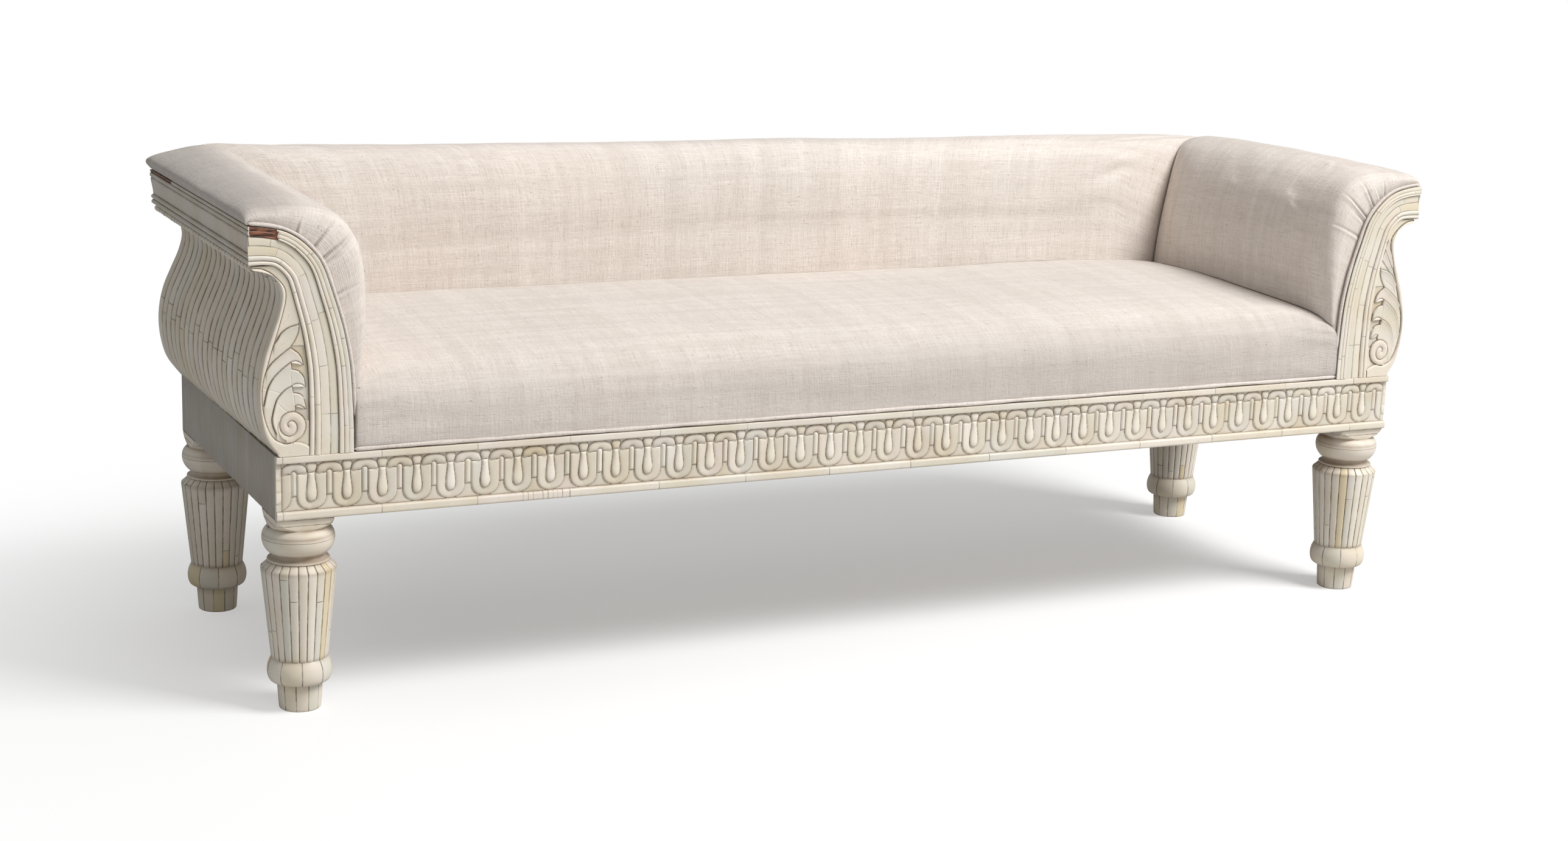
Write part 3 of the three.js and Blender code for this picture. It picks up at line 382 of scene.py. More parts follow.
def worn_bone(name, greyed=0.0, joint=0.55, broad=1.0, lengths=(0.09, 0.16), scatter=37.31, carved=False):
    """Cattle bone in thin strips, sawn, filed and glued edge to edge, yellowed and rubbed by use. It gives
    the eye cream, grey-green and honey strips, thin brown glue lines between them that fade in places,
    short brown pores along each strip, grime and painted shade in the hollows and a low waxy sheen. The
    UV map holds the strip's number across and metres along it, and the mark "wide" its width in
    millimetres, 0 where it has no joints. The mark "line" is how near a carved line is in millimetres (3
    on it), "tone" a carved piece's own tone, "grime_and_shade" how deep it lies, where it is browned as
    grime and as painted shade, and "bare" where the bone is lost and wood shows."""
    material, tree = empty_material(name)
    place = add(tree, "TexCoord", out="Object")
    across = add(tree, "SeparateXYZ", [add(tree, "UVMap", uv_map="strips")])
    along = across.node.outputs[1]
    wide = add(tree, "Attribute", out="Fac", attribute_name="wide")
    strip = add(tree, "Math", [across], operation="FLOOR")
    from_middle = add(tree, "Math", [add(tree, "Math", [across], operation="FRACT"), 0.5], operation="SUBTRACT")
    from_edge = add(tree, "Math", [0.5, add(tree, "Math", [from_middle], operation="ABSOLUTE")], operation="SUBTRACT")
    side_gap = add(tree, "Math", [from_edge, wide], operation="MULTIPLY")
    own = add(tree, "TexWhiteNoise", {"W": strip}, noise_dimensions="1D")
    length = add(tree, "MapRange", [own, 0.0, 1.0, lengths[0], lengths[1]])
    shift = add(tree, "Math", [own, scatter], operation="MULTIPLY")
    stepped = add(tree, "Math", [add(tree, "Math", [along, length], operation="DIVIDE"), shift], operation="ADD")
    cell = add(tree, "Math", [stepped], operation="FLOOR")
    cell_middle = add(tree, "Math", [add(tree, "Math", [stepped], operation="FRACT"), 0.5], operation="SUBTRACT")
    cell_edge = add(tree, "Math", [0.5, add(tree, "Math", [cell_middle], operation="ABSOLUTE")], operation="SUBTRACT")
    end_gap = add(tree, "Math", [cell_edge, length], operation="MULTIPLY")
    end_gap = add(tree, "Math", [end_gap, 1000.0], operation="MULTIPLY")
    if carved:
        piece = add(tree, "Attribute", out="Fac", attribute_name="tone")
    else:
        piece = add(tree, "TexWhiteNoise", [add(tree, "CombineXYZ", [strip, cell, 3.7])], noise_dimensions="3D")
    tone = add(tree, "ValToRGB", [piece], stops=[
        (0.0, "#E2D8C9"), (0.18, "#E6DDD0"), (0.36, "#D9D5C8"), (0.5, "#E4D9CE"), (0.64, "#DED5C1"),
        (0.8, "#ECE4D8"), (0.9, "#D8D4C8"), (0.96, "#E0D1B2"), (1.0, "#DCCBA6")])
    cloud = add(tree, "TexNoise", {0: place, "Scale": 14.0, "Detail": 4.0, "Roughness": 0.6})
    warm = add(tree, "MapRange", [cloud, 0.42, 0.72, 0.0, 0.45])
    tone = add(tree, "Mix", {0: warm, 6: tone, 7: linear("#D3C3A2")}, out=2, data_type="RGBA")
    # Pores: brown dashes about 0.3 mm wide and 3 mm long, drawn twice as coarse so that they show.
    fibres = add(tree, "CombineXYZ", [
        add(tree, "Math", [add(tree, "Math", [across, wide], operation="MULTIPLY"), 0.9], operation="MULTIPLY"),
        add(tree, "Math", [along, 150.0], operation="MULTIPLY"), strip])
    pores = add(tree, "TexNoise", {0: fibres, "Scale": 1.0, "Detail": 3.0, "Roughness": 0.7})
    pored = add(tree, "MapRange", [pores, 0.6, 0.8, 0.0, 0.5])
    tone = add(tree, "Mix", {0: pored, 6: tone, 7: linear("#8C7B66")}, out=2, data_type="RGBA")
    worn = add(tree, "TexNoise", {0: place, "Scale": 42.0, "Detail": 3.0, "Roughness": 0.65})
    shown = add(tree, "MapRange", [worn, 0.36, 0.58, 0.25, 1.0])
    near_side = add(tree, "MapRange", [side_gap, 0.3 * broad, 0.8 * broad, joint, 0.0])
    near_end = add(tree, "MapRange", [end_gap, 0.3, 1.0, joint * 0.9, 0.0])
    jointed = add(tree, "Math", [near_side, near_end], operation="MAXIMUM")
    jointed = add(tree, "Math", [jointed, shown], operation="MULTIPLY")
    in_strips = add(tree, "Math", [wide, 1.0], operation="GREATER_THAN")
    jointed = add(tree, "Math", [jointed, in_strips], operation="MULTIPLY")
    mark = add(tree, "Attribute", out="Fac", attribute_name="line")
    cut = add(tree, "MapRange", [mark, 2.36, 2.85, 0.0, 0.8])
    deep = add(tree, "MapRange", [worn, 0.3, 0.5, 0.5, 1.0])
    cut = add(tree, "Math", [cut, deep], operation="MULTIPLY")
    dark = cut if carved else add(tree, "Math", [cut, jointed], operation="MAXIMUM")
    # Grime and painted shade: the mark browns the bone towards #82694C in hollows, grooves, gaps and under other parts,
    # where shade falls.
    hollow = add(tree, "Attribute", out="Fac", attribute_name="grime_and_shade")
    grimed_and_shaded = add(tree, "Math", [hollow, add(tree, "MapRange", [cloud, 0.3, 0.7, 0.35, 1.0])], operation="MULTIPLY")
    grimed_and_shaded = add(tree, "Math", [grimed_and_shaded, 0.8], operation="MULTIPLY", use_clamp=True)
    tone = add(tree, "Mix", {0: grimed_and_shaded, 6: tone, 7: linear("#82694C")}, out=2, data_type="RGBA")
    # This mix greys the colour towards #7F7B74; on the rails it is painted shade.
    tone = add(tree, "Mix", {0: greyed, 6: tone, 7: linear("#7F7B74")}, out=2, data_type="RGBA")
    tone = add(tree, "Mix", {0: dark, 6: tone, 7: linear("#4B3D30")}, out=2, data_type="RGBA")
    bare = add(tree, "Attribute", out="Fac", attribute_name="bare")
    rough_grain = add(tree, "Mapping", [place, None, None, [60.0, 60.0, 420.0]])
    grain = add(tree, "TexNoise", {0: rough_grain, "Scale": 1.0, "Detail": 4.0})
    wood = add(tree, "ValToRGB", [grain], stops=[
        (0.36, "#2A1A15"), (0.46, "#693F2C"), (0.6, "#925D42"), (0.75, "#744938")])
    lost = add(tree, "MapRange", [bare, 0.45, 0.6, 0.0, 1.0])
    tone = add(tree, "Mix", {0: lost, 6: tone, 7: wood}, out=2, data_type="RGBA")
    rise = add(tree, "Math", [add(tree, "Math", [pores, 0.15], operation="MULTIPLY"), dark], operation="SUBTRACT")
    bump = add(tree, "Bump", {"Strength": 0.5, "Distance": 0.0006, "Height": rise})
    gloss = add(tree, "MapRange", [add(tree, "Math", [dark, cloud], operation="ADD"), 0.2, 1.4, 0.4, 0.7])
    shader = add(tree, "BsdfPrincipled", {
        "Base Color": tone, "Roughness": gloss, "Normal": bump, "IOR": 1.54, "Specular IOR Level": 0.4})
    add(tree, "OutputMaterial", [shader])
    return material


def nearness(distance):
    """The mark "line": 3 on a carved line, falling by 1 for each millimetre away from it."""
    return np.clip(3.0 - distance, 0.0, 3.0)


leg_bone = worn_bone("worn_bone_on_legs", joint=0.8, broad=1.4, lengths=(0.2, 0.6))
reed_count, turns = 24, 12 * 24
leg_middle, leg_row, row_shift = 909.0, 253.0, -14.0
head_foot, outer_corner_foot, head_top = 267.1, 284.8, 376.0
head_half, let_in = 41.0, 6.3
foot = [(28.0, 0.0), (29.2, 1.0), (29.7, 3.5), (30.6, 15.0), (31.4, 28.0), (32.0, 39.0), (32.6, 40.2)]
ring = through([(34, 40.2), (40.5, 41.6), (43.9, 46), (45.6, 53), (45.6, 60), (44.2, 67), (41.6, 73), (39.6, 76)], 16)
taper = np.stack([np.linspace(39.9, 52.9, 26), np.linspace(76.4, 206.8, 26)], 1)
shoulder = [(52.6, 208.4), (50.4, 210.2), (47.6, 212.8), (45.0, 215.2), (43.2, 217.0)]
collar = [(42.0, 217.6), (43.6, 218.2), (44.0, 219.4), (43.4, 220.8), (41.4, 221.4)]
neck = [(38.2, 222.4), (36.4, 224.6), (36.2, 226.6), (37.4, 228.6), (40.0, 229.6)]
bulb = through([(41.5, 230), (46.2, 235.4), (49.6, 242.4), (50.9, 250), (50.0, 257.4), (47.2, 263), (43.4, 266.6)], 18)
pommel = np.array([(42.5, 267.0), (45.1, 269.5), (50.2, 273.1), (55.2, 278.9), (58.3, 285.0), (60.0, 400.0)])
head_heights = np.concatenate([np.arange(267.2, 284.7, 1.25), [284.7, 284.9, 330.0, head_top]])
head = np.stack([np.interp(head_heights, pommel[:, 1], pommel[:, 0]), head_heights], 1)
# Each part's outline, the number of strips round it (0 where they lie across) and their width in
# millimetres, 0 where no joints show.
zones = [(foot, 11, 17), (ring, 9, 31), (taper, reed_count, 12), (shoulder, reed_count, 12), (collar, 5, 0),
         (neck, 5, 0), (bulb, 7, 0), (head, 0, 12)]
radii, heights = np.concatenate([np.asarray(part, float) for part, _, _ in zones]).T
strips = np.concatenate([np.full(len(part), float(number)) for part, number, _ in zones])
widths = np.concatenate([np.full(len(part), float(width)) for part, _, width in zones])
joints_at = np.array([[207.6, 217.4, 221.8, 230.2, 256.4, 267.0, 40.2, 76.2]])
bulb_seam = heights[np.argmin(np.abs(heights - 252.0))]
angle = np.linspace(0, 2 * math.pi, turns + 1)

for name, side_x, side_y in (("front_leg_left", -1, -1), ("front_leg_right", 1, -1),
                             ("rear_leg_left", -1, 1), ("rear_leg_right", 1, 1)):
    # A leg's radius is a function of the angle and the height. On the taper it dips between the reeds by
    # a bell curve 1 mm wide; in the head it is the smaller of the turned radius and the square's. The
    # head's two outer faces are let in by 6.3 mm above the turned part, behind the bone of the rails.
    radius = np.repeat(radii[:, None], turns + 1, axis=1)
    reed = np.abs((angle * reed_count / (2 * math.pi) + 0.5) % 1 - 0.5)
    in_reeds = (strips == reed_count)[:, None]
    side = reed[None, :] * 2 * math.pi * radii[:, None] / reed_count
    radius -= in_reeds * (1.0 * np.exp(-(side / 0.9) ** 2) + 0.16 * np.cos(reed[None, :] * 2 * math.pi))
    reach = np.where(heights[:, None] < outer_corner_foot, head_half, head_half - let_in)
    square = np.full_like(radius, 1e3)
    for way, face_at in ((np.cos(angle), reach), (-np.cos(angle), head_half),
                         (np.sin(angle), reach), (-np.sin(angle), head_half)):
        facing_it = np.maximum(way, 1e-6)[None, :]
        square = np.minimum(square, np.where(way[None, :] > 1e-3, face_at / facing_it, 1e3))
    in_head = (heights > head_foot)[:, None]
    moon = np.where(in_head, radius - square, 9.0)
    radius = np.where(in_head, np.minimum(radius, square), radius)
    middle_x, middle_y = side_x * leg_middle, side_y * leg_row + row_shift
    grid = np.stack([middle_x + np.cos(angle) * side_x * radius, middle_y + np.sin(angle) * side_y * radius,
                     np.repeat(heights[:, None], turns + 1, axis=1)], -1)
    edge = np.abs(heights[:, None] - joints_at).min(1)[:, None]
    gap_to = np.minimum(np.minimum(edge * 1.4 + 0.35, np.abs(heights - bulb_seam)[:, None] + 0.1), np.abs(moon) / 0.8)
    side_groove = np.where(in_reeds, side, 9.0)
    # Painted shade with some grime: darker in the neck's recess under the collar and along the joints between parts.
    marks = {
        "line": nearness(np.minimum(gap_to, side_groove * 0.75)),
        "wide": np.repeat(widths[:, None], turns + 1, axis=1),
        "grime_and_shade": (np.clip(1.1 - np.abs(heights - 225.5) / 5.0, 0, 1)[:, None] * 0.8 + np.exp(-(edge / 2.4)) * 0.8
                 + np.zeros_like(radius))}
    rows, columns = len(heights), turns
    index = np.arange(rows * columns).reshape(rows, columns)
    following = np.roll(index, -1, axis=1)
    quads = patch(index[:-1], following[:-1], following[1:], index[1:])
    bottom, top = rows * columns, rows * columns + 1
    low_cap = np.stack([np.full(columns, bottom), following[0], index[0]], 1)
    high_cap = np.stack([np.full(columns, top), index[-1], following[-1]], 1)
    zone = strips[:-1, None] * np.ones((1, columns))
    around, following_around = [part[None, :] / (2 * math.pi) for part in (angle[:-1], angle[1:])]
    z0, z1 = heights[:-1, None] + 0 * zone, heights[1:, None] + 0 * zone

    def corner(turned, z):
        """A corner's place on the flat: strips stand upright, but in the head they run round the leg, each
        8.7 mm high."""
        return np.stack([np.where(zone == 0, (z - 258.0) / 8.7, turned * zone),
                         np.where(zone == 0, turned * 0.3, z * 0.001)], -1)

    flat = np.stack([corner(around, z0), corner(following_around, z0), corner(following_around, z1),
                     corner(around, z1)], -2).reshape(-1, 4, 2)
    cap_flat = np.full((columns, 3, 2), 0.5)
    places = np.concatenate([grid[:, :-1].reshape(-1, 3), [[middle_x, middle_y, 0.0], [middle_x, middle_y, head_top]]])
    marks = {key: value[:, :-1] for key, value in marks.items()}
    leg = piece_from(f"turned_{name}", places, [quads, low_cap, high_cap], leg_bone,
                     [flat, cap_flat, cap_flat], marks, crease=42)
    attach(leg, "root")
    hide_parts(name)


# The front rail's bone: a frieze of 37 carved tongues under round arches, cut from many small pieces,
# between a square top fillet and a rounded lower one. All are glued to the front of the rail.

def with_flat_back(face, low, high, flat):
    """The points, faces and corner places of a carved face (across, along, 3), closed by a back that is
    straight across between the lines low and high, which lie behind the face's two long edges."""
    rows, columns = face.shape[:2]
    near = np.arange(rows * columns).reshape(rows, columns)
    foot = rows * columns + np.arange(columns)
    head = foot + columns
    quads = np.concatenate([
        patch(near[:-1, :-1], near[:-1, 1:], near[1:, 1:], near[1:, :-1]),
        patch(near[0, 1:], near[0, :-1], foot[:-1], foot[1:]),
        patch(near[-1, :-1], near[-1, 1:], head[1:], head[:-1]),
        patch(foot[:-1], head[:-1], head[1:], foot[1:])])
    ends = np.stack([np.concatenate([near[:, 0], head[:1], foot[:1]]),
                     np.concatenate([near[::-1, -1], foot[-1:], head[-1:]])])
    spread = np.concatenate([flat.reshape(-1, 2), flat[0], flat[-1]])
    places = np.concatenate([face.reshape(-1, 3), low, high])
    return places, [quads, ends], [spread[quads], spread[ends]]


def distance_to(x, z, line):
    """How far each point is from a line of straight pieces: the least distance to any one piece."""
    line = np.asarray(line, float)
    best = np.full(x.shape, 1e9)
    for a, b in zip(line[:-1], line[1:]):
        step = b - a
        t = np.clip(((x - a[0]) * step[0] + (z - a[1]) * step[1]) / max(step @ step, 1e-9), 0, 1)
        best = np.minimum(best, np.hypot(x - a[0] - t * step[0], z - a[1] - t * step[1]))
    return best


dice = np.random.default_rng(7)
motif_count, pitch, end_rows, frame_half = 37, 50.0, 20, 950.0
half_pitch, frieze_foot, frieze_head, core_face, rail_face = 25.0, 298.3, 365.7, -308.0, -302.3
tongue_head, dart_foot, dart_half, end_gap = 351.5, 318.0, 20.9, 7.7
cap_foot_level, cap_half, cap_height = 350.6, 18.6, 14.8
tongue = np.array([(5, 351.5), (5, 345), (5.7, 338), (6.7, 331), (7.5, 323), (7.3, 317), (5.8, 312.4), (3.2, 310),
                   (0, 309.4)])
bud = [(5, 351.5), (5.4, 353.6), (7.4, 358.4), (7.6, 361.6), (5.6, 364.6), (2, 365.6), (0, 365.6)]
shield = np.array([(20.9, 318), (20.5, 313), (18.8, 308), (15.8, 303.8), (11.6, 300.8), (6, 299.2), (0, 298.8)])
bend = np.linspace(0, math.pi / 2, 14)
cap = np.stack([half_pitch - cap_half * np.cos(bend) ** 0.85, cap_foot_level + cap_height * np.sin(bend) ** 0.85], 1)
cap_foot = [(6.6, 350.4), (9, 348.8), (14, 349.4), (20.6, 350)]
dart = [(20.9, 318), (20.9, 346), (20.7, 350), (21.6, 352.6), (23.2, 353.8), (25, 354.2), (26.8, 353.8)]

# The columns of points: each motif's own, closer together at its edges, and 20 at each end of the band.
motif_columns = np.sort(np.concatenate([
    np.linspace(-half_pitch, half_pitch, 35)[:-1], [-dart_half, dart_half, -6.6, 6.6, -5.0, 5.0]]))
height = np.linspace(frieze_foot, frieze_head, 52)
local = np.tile(motif_columns, motif_count)
motif = np.repeat(np.arange(motif_count), len(motif_columns))
end_columns = np.linspace(frame_half, frame_half - 24, end_rows)
x = np.concatenate([-end_columns, (motif - motif_count // 2) * pitch + local, end_columns[::-1]])
signed = np.concatenate([frame_half - end_columns, local, frame_half - end_columns[::-1]])
number = np.concatenate([np.full(end_rows, -1), motif, np.full(end_rows, motif_count)])
turn_side = np.concatenate([np.ones(end_rows, int), (local > 0).astype(int), np.zeros(end_rows, int)])

# ax is a point's distance from its tongue's middle. Each tongue leans and is stretched a little.
lean = dice.uniform(-0.7, 0.7, motif_count + 2)[number + 1]
stretch = dice.uniform(0.94, 1.06, motif_count + 2)[number + 1]
ax, az = np.meshgrid(np.abs(signed + lean * (np.abs(signed) < half_pitch)), height)
ax = np.where(ax < 8, ax * stretch[None, :], ax)
at_end = (np.abs(x) > frame_half - 24.5)[None, :]
plain = at_end & (ax < end_gap)
half_tongue = np.interp(az, tongue[::-1, 1], tongue[::-1, 0])
half_shield = np.interp(az, shield[::-1, 1], shield[::-1, 0])
half_bud = np.interp(az, [351.5, 353.6, 358.4, 361.6, 364.6, 365.7], [5, 5.4, 7.4, 7.6, 5.6, 0])
from_arch = np.abs(ax - half_pitch)
arch = cap_foot_level + cap_height * (1 - np.clip(from_arch / cap_half, 0, 1) ** 2.35) ** 0.425
in_dart = (ax > dart_half) & (az > dart_foot) & (az < 353.6)
in_cap = (az > 350.0) & (from_arch < cap_half) & (az < arch) & ~in_dart
in_bud = (az > tongue_head) & (ax < half_bud)
in_tongue = (az <= tongue_head) & (az > 309.4) & (ax < half_tongue)
in_shield = (az <= 350.4) & ~in_tongue & ~in_dart & ((az > dart_foot) | (ax < half_shield))

# The distance to the nearest carved line, and the relief that falls away towards it.
gap_to = np.minimum.reduce([distance_to(ax, az, line) for line in (
    tongue, bud, shield, cap, cap_foot, dart, [(0, tongue_head), (5, tongue_head)], [(dart_half, 318), (29, 318)])])
gap_to = np.where(plain, np.abs((az - 300) % 17.0 - 8.5) + 0.3, gap_to)
gap_to = np.where(at_end, np.minimum(gap_to, np.abs(ax - end_gap)), gap_to)
edge_gap = np.minimum(az - frieze_foot, frieze_head - az)
joint_level = 316 + 14 * dice.random(80)[2 * number[None, :] + turn_side[None, :]]
faint_gap = np.where(in_shield, np.abs(az - joint_level), 9.0)
crown = 1 - np.exp(-gap_to / 2.4)
lift = np.select([plain, in_cap, in_bud, in_tongue, in_shield, in_dart], [0.6, 1.9, 1.6, 1.0, 0.9, 0.9], 0.3)
swell = np.select([plain, in_cap, in_bud, in_tongue, in_shield, in_dart], [0.4, 1.5, 1.6, 2.3, 0.7, 2.0], 0.5)
slope = np.select([in_cap, in_tongue, in_shield], [
    -1.1 * np.exp(-(az - 350) / 4.0), 0.9 * np.exp(-((az - 318) / 10.0) ** 2), 1.3 * (ax - 8) / 13.0], 0.0)
relief = (lift + swell * crown + slope) * (1 - 0.8 * np.exp(-(gap_to / 0.8) ** 2))

# Each small piece of bone has a tone of its own, and some shields are cut from two.
piece_number = np.select([in_cap, in_bud, in_tongue, in_shield, in_dart], [1, 2, 3, 4, 5], 6)
owner = number[None, :] + np.where(np.isin(piece_number, (1, 5, 6)), turn_side[None, :], 0)
split_shield = np.where(in_shield & (dice.random(40)[number + 1][None, :] > 0.4), turn_side[None, :] * 3, 0)
tone = dice.random((40, 12))[np.clip(owner + 1, 0, 39), piece_number + split_shield] * 0.95
tone = np.where(plain, dice.random(8)[np.clip(((az - 291.5) / 17).astype(int), 0, 7)], tone)
tone = np.where(in_tongue, 0.7 + 0.12 * tone, tone)
shadow = np.select([in_cap, in_shield, in_dart, in_tongue, in_bud], [0.24, 0.1, 0.0, 0.0, 0.08], 0.22)

face = np.stack([np.broadcast_to(x, ax.shape), core_face - relief.clip(0, 4.2), az], -1)
foot_line = np.stack([x, np.full_like(x, rail_face), np.full_like(x, frieze_foot)], 1)
head_line = foot_line + [0, 0, frieze_head - frieze_foot]
flat = np.stack([az / pitch, face[..., 0] * 0.001], -1)
places, faces, corner = with_flat_back(face, foot_line, head_line, flat)
frieze_bone = worn_bone("carved_bone_frieze", carved=True)
# Grime and painted shade darken the frieze along its cuts and edges, and a painted shadow lies on each kind of piece,
# most on the caps and the plain ground.
frieze = piece_from("carved_frieze", places, faces, frieze_bone, corner, {
    "line": nearness(np.minimum.reduce([gap_to, edge_gap + 0.35, faint_gap + 0.45])), "tone": tone, "wide": pitch,
    "grime_and_shade": 0.7 * np.exp(-(np.minimum(gap_to, edge_gap) / 1.4)) + shadow}, crease=60)
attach(frieze, "root")
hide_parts("front_frieze")

fillet_bone = worn_bone("worn_bone_fillets", joint=0.75, lengths=(0.07, 0.19))
fillet_face = -313.7
for name, node, low, high, rounding in (("top_fillet", "front_top_fillet", 366.0, 376.0, 1.6),
                                        ("lower_fillet", "front_lower_fillet", 285.0, 298.0, 4.6)):
    # A fillet's front is a rounded rectangle, drawn from its foot to its head, and wavers by 0.3 mm. One
    # short stretch of the lower one is pieced from scraps 7 mm long.
    x = np.linspace(-frame_half, frame_half, 1200)
    share = np.concatenate([np.linspace(0, 0.3, 6)[:-1], np.linspace(0.3, 0.7, 4)[:-1], np.linspace(0.7, 1, 6)])
    across = low + (high - low) * share
    inset = rounding * (1 - np.sqrt(np.clip(1 - (1 - np.minimum(share, 1 - share) / 0.3).clip(0, 1) ** 2, 0, 1)))
    waver = 0.28 * np.sin(x / 61.0) + 0.2 * np.sin(x / 23.0 + 1)
    shape = (len(across), len(x))
    face = np.stack([np.broadcast_to(x, shape), fillet_face + inset[:, None] * 0.8 + 0.3 * waver[None, :],
                     np.broadcast_to(across[:, None], shape)], -1)
    foot_line = np.stack([x, np.full_like(x, rail_face), np.full_like(x, low)], 1)
    flat = np.stack([np.full(shape, 0.5) + (share[:, None] - 0.5) * 0.2, face[..., 0] * 0.001], -1)
    places, faces, corner = with_flat_back(face, foot_line, foot_line + [0, 0, high - low], flat)
    edge_gap = np.broadcast_to(np.minimum(across - low, high - across)[:, None], shape)
    scraps = np.abs(x[:, None] - np.linspace(-593, -533, 9)[None]).min(1) if name == "lower_fillet" else x * 0 + 9
    # Painted shade darkens each fillet towards its edges, where it meets the parts beside it.
    fillet = piece_from(name, places, faces, fillet_bone, corner, {
        "line": nearness(np.minimum(edge_gap + 0.45, scraps[None] - 0.2)), "grime_and_shade": 0.55 * np.exp(-edge_gap / 1.2),
        "wide": 20.0})
    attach(fillet, "root")
    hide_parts(node)


# The end rails and the rear rail are faced with plain upright strips of bone, sawn to one width and
# glued side by side. Their colour is greyed as painted shade, darker than the front, and they are only a
# little proud in their middles.
# The rails' bone is greyed strongly, as painted shade.
rail_bone = worn_bone("worn_bone_on_side_rails", greyed=0.72, joint=0.3, lengths=(0.3, 0.5))
strip_width, strip_thick = 22.0, 5.4


def upright_strips(name, start, end, place, node):
    """A band of upright strips 22 mm wide: each stands 0.25 mm proud at its middle."""
    run = np.linspace(start, end, int(abs(end - start) / 5.5) + 1)
    height = np.array([285.0, 286.2, 330.0, 374.8, 376.0])
    shape = (len(height), len(run))
    swell = 0.25 * np.abs(np.sin(math.pi * run / strip_width)) + 0.15 * np.sin(run / 47.0)
    eased = np.array([0.5, 0, 0, 0, 0.5])
    front, back = [place(np.broadcast_to(run, shape), depth, np.broadcast_to(height[:, None], shape))
                   for depth in (swell[None, :] - eased[:, None], np.full(shape, -strip_thick))]
    flat = np.stack(np.broadcast_arrays(run[None, :] / strip_width, height[:, None] * 0.001), -1)
    places, faces, corner = two_sided(front, back, flat)
    # Painted shade darkens the band at its top and bottom, where it meets the parts above and below.
    grime_and_shade = np.broadcast_to(np.array([0.8, 0.3, 0, 0.2, 0.7])[:, None], shape)
    band = piece_from(name, places, faces, rail_bone, corner, {
        "wide": strip_width, "grime_and_shade": np.tile(grime_and_shade.ravel(), 2)})
    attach(band, "root")
    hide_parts(node)


for side, tag in ((1, "right"), (-1, "left")):
    upright_strips(f"side_rail_strips_{tag}", -302, 274,
                   lambda run, depth, height: np.stack([side * (949.8 + depth), run, height], -1),
                   f"end_rail_bone_{tag}")
upright_strips("rear_rail_strips", -frame_half, frame_half,
               lambda run, depth, height: np.stack([run, 279.8 + depth, height], -1), "rear_rail_bone")


# Outer panels of the arms and back: an S-shaped shell of upright reeds of bone, glued side by side over
# the posts. Each reed is bent to the curve and pieced from two or three lengths.
panel_bone = worn_bone("reeded_bone_panels", greyed=0.1, joint=0.92, broad=4.6, lengths=(0.128, 0.146), scatter=0.3)
scroll_shares = np.array([
    (-0.23, 0), (0.52, 0.09), (0.86, 0.185), (1, 0.3), (0.92, 0.415), (0.64, 0.53), (0.19, 0.64),
    (-0.27, 0.75), (-0.47, 0.845), (-0.23, 0.92), (0.3, 0.957), (0.95, 0.9751)])
scroll_size, scroll_foot = [22.0, 265.0], [frame_half, rail_top]
panel_foot, panel_head, panel_thick, back_shift = 376.3, 640.6, 7.2, 670.0
reed_pitch, arm_run, rear_run = 29.5, 611.0, 1947.0
arm_panel_front, arm_panel_rear = -302.0, 279.7
scroll = through(scroll_shares * scroll_size + scroll_foot, 72)
scroll[0, 1] = panel_foot
scroll_run = length_along(scroll)
to_head = scroll_run[-1] - scroll_run
fade = np.clip((scroll[-1, 1] - scroll[:, 1]) / 26.5, 0, 1)


def reeded(run, length):
    """How far a reed stands out, by how far along the row of reeds a point is: an arch with steep sides,
    about 3 mm high, over each pitch, and its place in the row. The row has a whole number of reeds."""
    number = max(1, round(length / reed_pitch))
    place = run / length * number
    phase = np.abs(place % 1 - 0.5) * 2
    return 4.2 * np.sqrt(1 - 0.94 * phase ** 2.6) - 3.2 + 0.25 * np.sin(place * 2.4), place


def panel(name, count, flares, length, put, node):
    """A shell between the reeded outer surface and a plain inner one, 7 mm apart. put turns a share of the
    way along and an outline in (outward, up) into places. flares is how much of the flare of 7.5 mm, which
    fades out under the cornice, is there at the start and the end."""
    share = np.linspace(0, 1, count)
    lift, place = reeded(share * length, length)
    flare = 7.5 * (flares[0] + (flares[1] - flares[0]) * share)[None, :] * fade[:, None]
    outer = scroll[:, None, :] + np.stack([flare, np.zeros_like(flare)], -1)
    along = direction(scroll)
    normal = np.stack([along[:, 1], -along[:, 0]], 1)[:, None, :]
    calm = np.clip(to_head / 14.0, 0.25, 1)[:, None, None]
    front = outer + normal * (lift[None, :, None] - 0.6) * calm
    back = outer - normal * panel_thick
    for grid in (front, back):
        grid[..., 1] = np.minimum(grid[..., 1], panel_head)
    flat = np.stack(np.broadcast_arrays(place[None, :], scroll_run[:, None] * 0.001), -1)
    places, faces, corner = two_sided(put(share, front), put(share, back), flat)
    # Painted shade: darker at the panel's foot, under the cornice and in the grooves between the reeds.
    shade = np.maximum(np.exp(-scroll_run / 12.0), np.exp(-to_head / 26.0))[:, None]
    groove = np.exp(-(1 - np.abs(place % 1 - 0.5) * 2) * 6.0)[None, :]
    shell = piece_from(name, places, faces, panel_bone, corner, {
        "wide": reed_pitch, "grime_and_shade": np.tile((shade * 0.9 + groove).ravel(), 2)}, crease=70)
    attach(shell, "root")
    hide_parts(node)


def side_place(side):
    """Places on an arm's outside: from the front to the back panel's own line."""
    def put(share, grid):
        rear = arm_panel_rear + grid[..., 0] - frame_half
        y = arm_panel_front + (rear - arm_panel_front) * share[None, :]
        return np.stack([side * grid[..., 0], y, grid[..., 1]], -1)
    return put


def back_place(share, grid):
    """Places on the back's outside, between the mitres with the arms' panels."""
    y = grid[..., 0] - back_shift
    return np.stack([(949.7 + y - 280.0) * (share[None, :] * 2 - 1), y, grid[..., 1]], -1)


